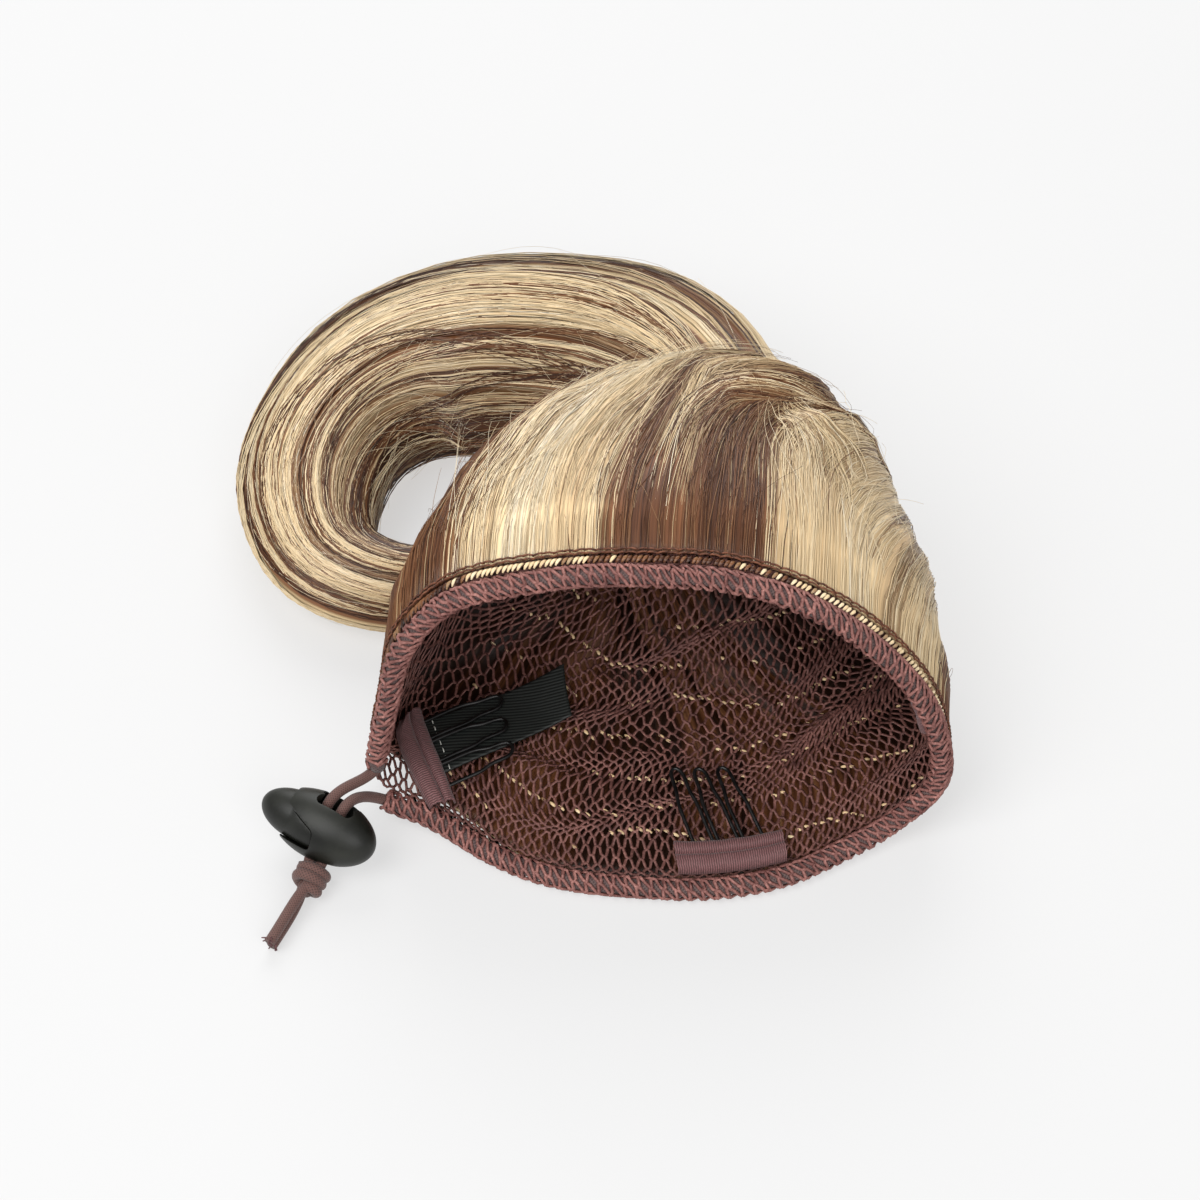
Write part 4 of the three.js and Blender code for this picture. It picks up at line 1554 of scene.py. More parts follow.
@dataclass
class RimWeft:
    """The sewn edge of the hair behind the casing: slanting hair stitches and two lines of thread.

    Rows of the same stitches run round the cap under the hair, and show through the net.
    """

    cap: CapSurface
    panels: HairPanels
    net: NetCap
    span: Pair = (0.022, 0.955)
    stitch_pitch: float = 1.0
    stitch: Pair = (2.3, 3.7)
    stitch_radius: float = 0.36
    stitch_lift: Pair = (1.05, 0.5)
    stitch_floor: float = 0.5
    slant: float = 1.1
    lines: Pair = (4.0, 4.8)
    line_pitch: float = 1.9
    line_radius: float = 0.19
    line_lift: Pair = (1.75, 0.3)
    line_floor: float = 0.4
    line_zigzag: float = 0.1
    line_overlap: float = 0.62
    inner_rows: int = 12
    inner_pitch: float = 1.8
    inner_length: float = 1.4
    inner_span: Pair = (0.03, 0.955)
    inner_floor: float = 0.6
    inner_darker: Pair = (-0.35, -0.08)
    seed: int = 41

    def places(self, pitch: float) -> Array:
        """Turns along the sewn edge, one stitch apart."""
        count = int(self.cap.rim_route.length * (self.span[1] - self.span[0]) / pitch)
        return np.linspace(*self.span, count)

    def laid(self, turns: Array, climbs: Array, lift: Array, least: float) -> tuple[Array, Array]:
        """Points that stand off the net and above the floor, and the outward direction at each."""
        return kept_above(self.cap.lifted(turns, climbs, lift), least), self.cap.normal(turns, climbs)

    def stitches(self) -> MeshArrays:
        """Short slanting bundles of hair beside the casing.

        Returns:
            Its corners and faces.
        """
        draw = np.random.default_rng(self.seed)
        turn = self.places(self.stitch_pitch)
        turn = turn + draw.normal(0, 0.0004, len(turn))
        share = np.linspace(0, 1, 5)
        away = self.stitch[0] + (self.stitch[1] - self.stitch[0]) * share
        turns = turn[:, None] + self.slant * (share - 0.5) / self.cap.rim_route.length
        arch = np.sin(math.pi * share)
        lift = self.stitch_lift[0] + self.stitch_lift[1] * arch
        paths, facing = self.laid(turns, self.cap.climb_at(turns, away), lift, self.stitch_floor)
        tones = self.panels.columns(self.panels.shades(turn, draw), draw, -0.02)
        return strands(paths, self.stitch_radius * (0.55 + 0.45 * arch), 5, facing, tones)

    def thread_line(self, away: float, seed: int) -> MeshArrays:
        """A line of sewing thread, stitch after stitch.

        Args:
            away: Millimetres from the rim.
            seed: Which unevenness it has.

        Returns:
            Its corners and faces.
        """
        turn = self.places(self.line_pitch)
        count = len(turn)
        share = np.linspace(-self.line_overlap, self.line_overlap, 5)
        turns = turn[:, None] + share * self.line_pitch / self.cap.rim_route.length
        zigzag = self.line_zigzag * np.sin(math.pi * share) * np.where(np.arange(count) % 2, 1, -1)[:, None]
        uneven = np.random.default_rng(seed).normal(0, 0.05, count)[:, None]
        lift = self.line_lift[0] + self.line_lift[1] * np.cos(math.pi * share) + uneven
        paths, facing = self.laid(turns, self.cap.climb_at(turns, away + zigzag), lift, self.line_floor)
        return strands(paths, self.line_radius, 5, facing)

    def inner_stitches(self) -> MeshArrays:
        """Rows of weft under the net, bundle by bundle, that shine through its cells.

        Returns:
            Its corners and faces.
        """
        draw = np.random.default_rng(self.seed + 5)
        along = np.linspace(-0.5, 0.5, 4)
        arch = np.cos(math.pi * along)
        groups = []
        for share in self.net.weft_pitch * np.arange(1, self.inner_rows + 1):
            around = self.cap.around(share)
            turn = np.arange(*self.inner_span, self.inner_pitch / around)
            patchy = 0.34 * ripple(turn, 2 * np.full_like(turn, share), self.seed + 7)
            shown = 0.08 + 0.5 * smoothstep(0.42, 0.56, turn) + patchy
            turn = turn[draw.random(len(turn)) < shown]
            level = share + self.net.weft_drift(turn, np.full_like(turn, share))[:, None]
            turns = turn[:, None] + along * self.inner_length / around
            uneven = draw.normal(0, 0.003, len(turn))[:, None]
            climbs = np.clip(level + 0.006 * along + uneven, 0.03, 0.97)
            lift = 0.06 - 0.2 * arch - self.net.slack(turns, climbs)
            paths, outward = self.laid(turns, climbs, lift, self.inner_floor)
            # The blond bundles are toned darker by a random amount: painted shade inside the cap, with some random
            # spread of tone.
            darker = draw.uniform(*self.inner_darker, len(turn))
            tones = self.panels.columns([BLOND] * len(turn), draw, darker)
            groups.append(strands(paths, self.stitch_radius * (0.6 + 0.4 * arch), 4, -outward, tones))
        return MeshArrays.joined(groups)

    def build(self) -> None:
        """Makes the stitches, the thread lines and the rows inside."""
        self.stitches().piece("rim_stitches", TAIL_STRANDS, "weft", "rim_weft")
        threads = [self.thread_line(away, self.seed + i) for i, away in enumerate(self.lines)]
        MeshArrays.joined(threads).piece("rim_threads", BROWN_THREAD, "weft")
        self.inner_stitches().piece("weft_rows", TAIL_STRANDS, "weft")


@dataclass
class Ponytail:
    """The hank that leaves the crown, loops to the left and tucks its tip in beside the cap.

    Its sections are the spine's points with the hank's width and height there.
    """

    sections: tuple[tuple[float, float, float, float, float], ...] = (
        (19, 48, 39, 28, 26),
        (7, 68, 34.5, 39, 30),
        (-12, 89, 23, 50, 32),
        (-37, 99, 14.5, 52, 30),
        (-55, 93.5, 13, 45, 27),
        (-68, 79, 12, 35, 25),
        (-73, 60.5, 11, 30, 23),
        (-68.5, 42, 9.5, 22, 20),
        (-56, 35.5, 8.5, 18, 18),
        (-42, 37, 7.7, 16, 16),
        (-29, 42, 6.7, 12, 14),
    )
    locks: int = 7
    lock_depth: float = 0.06
    twist: float = 1.6
    streaks: tuple[tuple[float, Shade], ...] = (
        (-2.0, BLOND),
        (0.98, BROWN),
        (1.13, BLOND),
        (1.32, BROWN),
        (1.42, BLOND),
        (1.58, BROWN),
        (1.92, BLOND),
        (2.14, ASH),
        (2.24, BROWN),
        (2.46, BLOND),
        (2.68, BROWN),
        (2.9, ASH),
        (3.15, BROWN),
    )
    heading_span: float = 0.15
    lowest: float = 0.12
    count: int = 1200
    points: int = 31
    fibre: float = 0.095
    small_locks: int = 136
    mixed: float = 0.3
    crossing: float = 0.34
    flyaways: int = 320
    flyaway_points: int = 14
    flyaway_fibre: float = 0.05
    flyaways_at_edge: float = 0.45
    light_flyaways: float = 0.75
    core_reach: float = 0.962
    core_cells: tuple[int, int] = (120, 130)
    core_round: float = 110.0
    core_ridges: int = 31
    core_ridge: float = 0.006
    seed: int = 61

    def __post_init__(self) -> None:
        """Makes the spine and the sizes along it, and draws the small locks."""
        self.spine = Route([section[:3] for section in self.sections])
        self.sizes = Route([(*section[3:], 0.0) for section in self.sections])
        draw = np.random.default_rng(self.seed)
        count = self.small_locks
        self.lock_angle = np.sort(draw.uniform(-0.4 * math.pi, 1.3 * math.pi, count))
        # Locks are picked and toned by their side of the hank: the mixed-in ones lean blond on the outer side, as
        # painted light, and those on the inner side of the loop are picked and toned darker, as painted shade.
        inner = smoothstep(0.55 * math.pi, 0.85 * math.pi, self.lock_angle)
        pick = draw.random(count) * np.where(self.lock_angle < 0.9, 0.75, 1.0) + 0.15 * inner
        odd = [BLOND if p < 0.52 else ASH if p < 0.68 else BROWN for p in pick]
        index = np.searchsorted([begin for begin, _ in self.streaks], self.lock_angle, side="right") - 1
        mixed = draw.random(count) < self.mixed
        self.lock_shade = [o if m else self.streaks[i][1] for o, m, i in zip(odd, mixed, index)]
        self.lock_tone = draw.normal(0, 0.05, count) - 0.05 * inner
        self.lock_drift = draw.normal(0, 0.14, count)
        crossing = draw.random(count) < self.crossing
        self.lock_slide = np.where(crossing, draw.normal(0, 0.95, count), draw.normal(0, 0.08, count))
        self.lock_reach = draw.uniform(0.992, 1.01, count) + 0.012 * crossing
        self.lock_width = draw.uniform(0.015, 0.07, count)

    def turned(self, along: Array) -> Array:
        """How far the hank has twisted at each share of the spine."""
        return -TURN * self.twist / self.locks * along

    def placed(self, along: Array, angle: Array, reach: Array) -> tuple[Array, Array]:
        """Points round the spine.

        Args:
            along: Shares of the spine.
            angle: Angles round it, from its right side upwards.
            reach: Shares of the way from the spine to the hank's surface.

        Returns:
            The points, and the way out from the spine at each.
        """
        low, high = (np.clip(along + d, 0, 1) for d in (-self.heading_span, self.heading_span))
        ahead = unit(self.spine.at(high) - self.spine.at(low))
        side = unit(np.cross(ahead, UP))
        over = np.cross(side, ahead)
        lock = 1 + self.lock_depth * np.cos(self.locks * angle + TURN * self.twist * along)
        half = self.sizes.at(along) / 2 * (lock * reach)[..., None]
        out = side * (half[..., 0] * np.cos(angle))[..., None] + over * (half[..., 1] * np.sin(angle))[..., None]
        return kept_above(self.spine.at(along) + out, self.lowest), unit(out)

    def strand_groups(self) -> list[MeshArrays]:
        """The strands in two groups, lock by lock.

        Returns:
            Corners and faces of each group.
        """
        draw = np.random.default_rng(self.seed + 1)
        count = self.count
        ends = np.clip(draw.normal(0.97, 0.03, count), 0.85, 1)
        along = np.linspace(0, 1, self.points)[None] * ends[:, None]
        lock = draw.integers(0, self.small_locks, count)
        spread = draw.normal(0, 1, count) * self.lock_width[lock]
        angle = (self.lock_angle[lock] + spread)[:, None] + self.turned(along)
        angle = angle + self.lock_slide[lock][:, None] * (along - 0.3)
        angle = angle + self.lock_drift[lock][:, None] * np.sin(math.pi * along)
        angle = angle + 0.03 * sway(draw, count, (0.5, 1.4), along)
        reach = (self.lock_reach[lock] + draw.uniform(-0.008, 0.012, count))[:, None]
        reach = reach + 0.004 * sway(draw, count, (0.6, 1.8), along)
        paths, out = self.placed(along, angle, reach * (1 - 0.5 * smoothstep(0.9, 1, along)))
        radii = self.fibre * draw.uniform(0.75, 1.3, count)[:, None] * (1 - 0.5 * smoothstep(0.85, 1, along))
        tones = HairPanels.columns([self.lock_shade[i] for i in lock], draw, self.lock_tone[lock])
        parts = np.array_split(draw.permutation(count), 2)
        return [strands(paths[p], radii[p], 3, out[p], tones[p]) for p in parts]

    def loose(self) -> MeshArrays:
        """Flyaways that cross the hank and stand off its edges.

        Returns:
            Its corners and faces.
        """
        draw = np.random.default_rng(self.seed + 3)
        count = self.flyaways
        share = np.linspace(0, 1, self.flyaway_points)[None]
        start = draw.uniform(0.05, 0.7, count)[:, None]
        along = np.clip(start + draw.uniform(0.08, 0.28, count)[:, None] * share, 0, 1)
        side = np.where(draw.random(count) < self.flyaways_at_edge, draw.normal(0.95 * math.pi, 0.2, count), 0)
        side = np.where(side > 0, side, draw.uniform(0, math.pi, count))
        angle = side[:, None] + draw.normal(0, 0.5, count)[:, None] * share
        reach = 1.0 + np.abs(draw.normal(0, 0.06, count))[:, None] * share**1.3
        paths, out = self.placed(along, angle, reach)
        shades = [BLOND if light else ASH for light in draw.random(count) < self.light_flyaways]
        tones = HairPanels.columns(shades, draw, 0.05)
        return strands(paths, self.flyaway_fibre * (1 - 0.5 * share), 3, out, tones)

    def core(self) -> bpy.types.Object:
        """The mass of hair inside the hank, streaked in the tones of the locks over it.

        Returns:
            The object.
        """
        middles = np.array([shade.value[0] for shade in self.lock_shade]) + self.lock_tone

        def place(across: Array, up: Array) -> Array:
            """Points for shares across and along."""
            angle = TURN * across - 0.5 * math.pi
            ridges = np.cos(self.core_ridges * angle + 3 * np.sin(5 * up))
            ridge = self.core_ridge * ridges * smoothstep(0, 0.1, up)
            reach = (self.core_reach + ridge) * (1 - 0.7 * smoothstep(0.9, 1, up))
            return self.placed(up, angle + self.turned(up), reach)[0]

        def tone(across: Array, up: Array) -> Array:
            """The hair's tone for shares across and along."""
            return np.interp(TURN * across - 0.5 * math.pi, self.lock_angle, middles)

        size = (self.core_round, self.spine.length)
        made = grid_piece("ponytail_core", self.core_cells, size, (TAIL_BED,), place, tone)
        finish_modifier(made, "WELD", merge_threshold=WELD * MM)
        only(made)
        bpy.ops.object.mode_set(mode="EDIT")
        bpy.ops.mesh.select_all(action="DESELECT")
        bpy.ops.mesh.select_non_manifold()
        bpy.ops.mesh.edge_face_add()
        bpy.ops.mesh.select_all(action="SELECT")
        bpy.ops.mesh.normals_make_consistent(inside=False)
        bpy.ops.object.mode_set(mode="OBJECT")
        made.data.shade_smooth()
        return made

    def build(self) -> None:
        """Makes the core, the strands and the flyaways."""
        dress(self.core(), "hair", "ponytail")
        for letter, group in zip("ab", self.strand_groups()):
            group.piece(f"ponytail_strands_{letter}", TAIL_STRANDS, "hair")
        self.loose().piece("ponytail_flyaways", TAIL_STRANDS, "hair")


# Drawstring, knot and lock


@dataclass
class CordLock:
    """A spring cord lock: an egg of a body with a slot for two cords, and a tongue-shaped button.

    The slot leans forward as it rises, and is wide enough there for the cords that come over its back edge.
    """

    place: Triple = (-65.6, -27.8, 8.9)
    yaw: float = -28
    pitch: float = 4
    roll: float = 48
    half: Triple = (11.4, 6.8, 6.0)
    middle_x: float = -0.4
    mouth_x: float = -7.4
    cord_x: Pair = (-1.3, 2.0)
    cord_radius: float = 1.1
    slot_x: Pair = (-2.8, 5.2)
    slot_lean: float = 24
    slot_half: float = 1.5
    slot_back: float = -2.8
    slot_front: float = 2.0
    slot_round: float = 1.4
    tongue_x: float = -5.6
    tongue: Triple = (8.4, 4.85, 4.3)
    tongue_room: float = 1.4
    tab_end_x: float = 0.0
    tab_corner_y: float = -0.2
    tab_low_y: float = -4.4
    tab_depth: float = 1.3
    tab_slant: float = 22.8
    tab_play: float = 0.4
    tab_from_x: float = -7.5
    pocket_wall: float = 0.5
    travel: float = 2.5
    end_round: float = 0.6
    notch_round: float = 1.0
    tab_round: float = 0.9
    tab_inset: float = 0.85
    body_edge: float = 0.3
    button_edge: float = 0.45
    far: float = 30.0
    tab_far: float = 40.0

    @property
    def matrix(self) -> Matrix:
        """From the lock's own frame, in millimetres, to the part's.

        Returns:
            The matrix.
        """
        made = Matrix.Translation(self.place)
        for axis, angle in (("Z", self.yaw), ("Y", self.pitch), ("X", self.roll)):
            made = made @ Matrix.Rotation(math.radians(angle), 4, axis)
        return made

    def out(self, x: float, y: float, z: float) -> Array:
        """A point of the lock's own frame in the part's frame."""
        return np.array(self.matrix @ Vector((x, y, z)))

    def egg(self, middle_x: float, half: Sequence[float]) -> bpy.types.Object:
        """An egg-shaped primitive along X.

        Args:
            middle_x: Where its middle is along X.
            half: Its half sizes.

        Returns:
            The object.
        """
        bpy.ops.object.select_all(action="DESELECT")
        bpy.ops.mesh.primitive_uv_sphere_add(segments=56, ring_count=36, radius=1)
        made = bpy.context.active_object
        made.data.transform(Matrix.Rotation(math.pi / 2, 4, "Y"))
        made.data.transform(Matrix.Translation((middle_x, 0, 0)) @ Matrix.Diagonal((*half, 1)))
        return made

    def shrunk_egg(self, by: float) -> bpy.types.Object:
        """The body's egg, smaller by so much all round."""
        return self.egg(self.middle_x, [half - by for half in self.half])

    def slab(self, low: Sequence[float], high: Sequence[float], round_edges: float = 0.0) -> bpy.types.Object:
        """A box between two corners, with rounded edges if asked.

        Args:
            low: Its lowest corner.
            high: Its highest corner.
            round_edges: Its edges' radius.

        Returns:
            The object.
        """
        bpy.ops.object.select_all(action="DESELECT")
        bpy.ops.mesh.primitive_cube_add(size=1)
        made = bpy.context.active_object
        low, high = np.array(low, float), np.array(high, float)
        made.data.transform(Matrix.Translation((low + high) / 2) @ Matrix.Diagonal((*(high - low), 1)))
        if round_edges:
            finish_modifier(made, "BEVEL", width=round_edges, segments=5, limit_method="NONE")
        return made

    def cut(self, made: bpy.types.Object, other: bpy.types.Object, operation: str = "DIFFERENCE") -> None:
        """Cuts one mesh with another and removes the other."""
        finish_modifier(made, "BOOLEAN", operation=operation, object=other, solver="EXACT")
        bpy.data.objects.remove(other)

    def eased(self, made: bpy.types.Object, name: str, edge: float) -> bpy.types.Object:
        """Names a piece, rounds its sharp edges, shades the rest smooth and puts it in its place.

        Args:
            made: The piece, in the lock's own frame.
            name: Its name.
            edge: Its edges' radius.

        Returns:
            The piece.
        """
        made.name = made.data.name = name
        finish_modifier(made, "WELD", merge_threshold=0.01)
        sharp = math.radians(35)
        finish_modifier(made, "BEVEL", width=edge, segments=3, limit_method="ANGLE", angle_limit=sharp)
        only(made)
        bpy.ops.object.shade_smooth_by_angle(angle=math.radians(40))
        made.data.transform(Matrix.Diagonal((MM, MM, MM, 1)) @ self.matrix)
        made.data.materials.clear()
        made.data.materials.append(MouldedPlastic().material())
        return made

    def tab_room(self, end_x: float, play: float, round_corner: float) -> bpy.types.Object:
        """The space in front of the lock that the button's tab takes: below a slanting edge and left of an end.

        Args:
            end_x: Where the space ends.
            play: How much smaller it is than the notch at its slanting and lower edges.
            round_corner: The corners' radius.

        Returns:
            The space as a mesh.
        """
        far = self.tab_far
        depth = self.tab_depth + (GAP if play else 0)
        made = self.slab((-far, self.tab_low_y + play, depth), (end_x, far, far))
        slant = self.slab((-far, -far, -far), (far, 0, far))
        corner = Matrix.Translation((end_x, self.tab_corner_y - play, 0))
        slant.data.transform(corner @ Matrix.Rotation(math.radians(-self.tab_slant), 4, "Z"))
        self.cut(made, slant, "INTERSECT")
        sharp = math.radians(20)
        finish_modifier(made, "BEVEL", width=round_corner, segments=6, limit_method="ANGLE", angle_limit=sharp)
        return made

    def body(self) -> bpy.types.Object:
        """The egg, open at its mouth, with the cord slot through it and a notch and pocket for the button's tab.

        Returns:
            The object.
        """
        far = self.far
        made = self.shrunk_egg(0)
        self.cut(made, self.slab((self.mouth_x, -far, -far), (far, far, far)), "INTERSECT")
        half_x, half_y, half_z = self.tongue
        room = (half_x + self.tongue_room, half_y + GAP, half_z + GAP)
        self.cut(made, self.egg(self.tongue_x + self.tongue_room, room))
        pocket = self.tab_room(self.tab_end_x + self.travel + GAP, 0, self.notch_round)
        self.cut(pocket, self.shrunk_egg(self.pocket_wall), "INTERSECT")
        self.cut(made, pocket)
        self.cut(made, self.tab_room(self.tab_end_x, 0, self.notch_round))
        (low, high), half = self.slot_x, self.slot_half
        upper = self.slab((low, 0, -half), (high, far, half), self.slot_round)
        upper.data.transform(Matrix.Rotation(math.radians(self.slot_lean), 4, "X"))
        self.cut(made, upper)
        self.cut(made, self.slab((low, 0, self.slot_back), (high, far, half), self.slot_round))
        self.cut(made, self.slab((low, -far, -half), (high, 1, self.slot_front), self.slot_round))
        return self.eased(made, "lock_body", self.body_edge)

    def button(self) -> bpy.types.Object:
        """The tongue that is pressed, with the tab that runs into the body's notch.

        Returns:
            The object.
        """
        far = self.far
        made = self.egg(self.tongue_x, self.tongue)
        end = self.cord_x[0] - self.cord_radius - GAP - self.travel
        self.cut(made, self.slab((-far, -far, -far), (end, far, far), self.end_round), "INTERSECT")
        tab = self.tab_room(self.tab_end_x - self.tab_play, self.tab_play, self.tab_round)
        self.cut(tab, self.shrunk_egg(self.tab_inset), "INTERSECT")
        self.cut(tab, self.slab((self.tab_from_x, -far, -far), (far, far, far)), "INTERSECT")
        self.cut(made, tab, "UNION")
        return self.eased(made, "lock_button", self.button_edge)

    def build(self) -> tuple[bpy.types.Object, bpy.types.Object]:
        """Makes the body and the button."""
        body = dress(self.body(), "lock", "cord_lock_body")
        return body, dress(self.button(), "lock", "cord_lock_plunger", body=BUTTON_BODY)


@dataclass
class Drawstring:
    """The elastic's two free ends: out of the hem, through the lock and a knot, to their cut tips."""

    cap: CapSurface
    lock: CordLock
    diameter: float = 2.2
    pitch: float = 2.5
    leaves: Pair = (0.001, 0.97)
    knot: Triple = (-68.7, -36.8, 3.5)
    knot_length: float = 5.6
    knot_radius: float = 3.4
    knot_turns: float = 2.9
    tails: tuple[Triple, Triple] = ((-75, -50.5, 1.4), (-75.2, -51.2, 3.5))
    coil_span: Pair = (-3.9, 5.4)
    bridge_radius: float = 2.55
    points: int = 241
    easing: int = 700
    yarns: int = 26
    yarn_radius: float = 0.2
    fray_spread: float = 0.45
    fray_reach: Pair = (0.2, 0.8)
    fray_floor: float = 0.15
    seed: int = 83

    def knot_axes(self) -> Array:
        """The knot's level, upright and forward directions, as columns.

        Returns:
            A matrix of three columns.
        """
        ahead = unit(np.array([*self.tails[0][:2], self.knot[2] - 1]) - np.array(self.knot))
        level = unit(np.cross(UP, ahead))
        return np.stack([level, np.cross(ahead, level), ahead], -1)

    def in_knot(self, radius: Array | float, angle: Array | float, along: Array | float) -> Array:
        """Points round the knot's middle line in the part's frame."""
        flat = np.stack(np.broadcast_arrays(radius * np.cos(angle), radius * np.sin(angle), along), -1)
        return np.array(self.knot) + flat @ self.knot_axes().T

    def route(self, index: int) -> Route:
        """The way of one free end, point by point: hem, lock, half a turn in the knot, and tip.

        Args:
            index: Which end, 0 or 1.

        Returns:
            The curve.
        """
        side = (-1, 1)[index]
        leaving = np.array(self.leaves[index])
        start = self.cap.rim(leaving)
        heading = self.cap.rim_heading(leaving) * side
        half = self.lock.half[1]
        lock_points = ((half - 0.2, 1.3), (half / 4, 0.1), (-half / 2, -0.3), (-half + 0.4, -0.1))
        knot_points = ((0, -self.knot_length / 2), (0.25 * math.pi, 0), (0.5 * math.pi, self.knot_length / 2))
        turns = [self.in_knot(side * self.pitch / 2, angle, along) for angle, along in knot_points]
        tip = np.array(self.tails[index])
        halfway = turns[-1] + 0.4 * (tip - turns[-1])
        halfway[2] = tip[2]
        through = [self.lock.out(self.lock.cord_x[index], y, z) for y, z in lock_points]
        return Route([start + heading * GAP, start + heading * 2, *through, *turns, halfway, tip])

    def path(self, index: int) -> Array:
        """The way of one free end, eased so that no bend is tight.

        Args:
            index: Which end, 0 or 1.

        Returns:
            Its points, evenly apart.
        """
        made = self.route(index).along(np.linspace(0, 1, self.points))
        for _ in range(self.easing):
            made[1:-1] += 0.25 * (made[:-2] + made[2:] - 2 * made[1:-1])
        return made[::2]

    def wraps(self) -> MeshArrays:
        """The knot: cord wound round itself, with a strand drawn across the front.

        Returns:
            Its corners and faces.
        """
        radius = self.diameter / 2
        share = np.linspace(0, 1, 120)
        angle = TURN * (self.knot_turns * share + 0.35)
        inward = 1 - 0.75 * (smoothstep(0.9, 1, share) + 1 - smoothstep(0, 0.1, share))
        ring = (self.knot_radius - radius + 0.15) * inward
        start, length = self.coil_span
        coil = self.in_knot(ring, angle, start + length * share + 0.5 * np.sin(angle + 0.6) * inward)
        across = np.linspace(-1, 1, 30)
        bridge = self.in_knot(self.bridge_radius, TURN * (0.62 + 0.16 * across), 2.1 * across - 0.9)
        sized = ((coil, radius), (bridge, radius * 0.98))
        return MeshArrays.joined([cord_tube(kept_above(path, radius), thick) for path, thick in sized])

    def frayed(self) -> MeshArrays:
        """Cut yarns that splay at the tips.

        Returns:
            Its corners and faces.
        """
        draw = np.random.default_rng(self.seed)
        share = np.linspace(0, 1, 6)[:, None]
        paths = []
        for index in range(2):
            before, tip = self.path(index)[-5::4]
            ahead = unit(tip - before)
            for _ in range(self.yarns):
                off = draw.normal(0, self.fray_spread, 3)
                off -= ahead * np.dot(off, ahead)
                reach = draw.uniform(*self.fray_reach)
                path = tip + off * (0.9 + 0.7 * share) + ahead * (reach * share - 0.4)
                paths.append(kept_above(path, self.fray_floor))
        return strands(np.array(paths), self.yarn_radius * (1 - 0.3 * share[:, 0]), 4)

    def build(self, body: bpy.types.Object, button: bpy.types.Object) -> None:
        """Args:
            body: The lock's body; not used.
            button: The lock's button; not used.
        """
        braid = BraidedElastic()
        wraps = self.wraps().piece("drawstring_wraps", braid, "cord", "drawstring_knot")
        frayed = self.frayed().piece("drawstring_frays", PLUM_THREAD, "cord")
        for index, letter in enumerate("ab"):
            path = self.path(index)
            tube = cord_tube(path, self.diameter / 2)
            made = tube.piece(f"drawstring_free_{letter}", braid, "cord", f"drawstring_end_{letter}")


# Combs, tapes and label


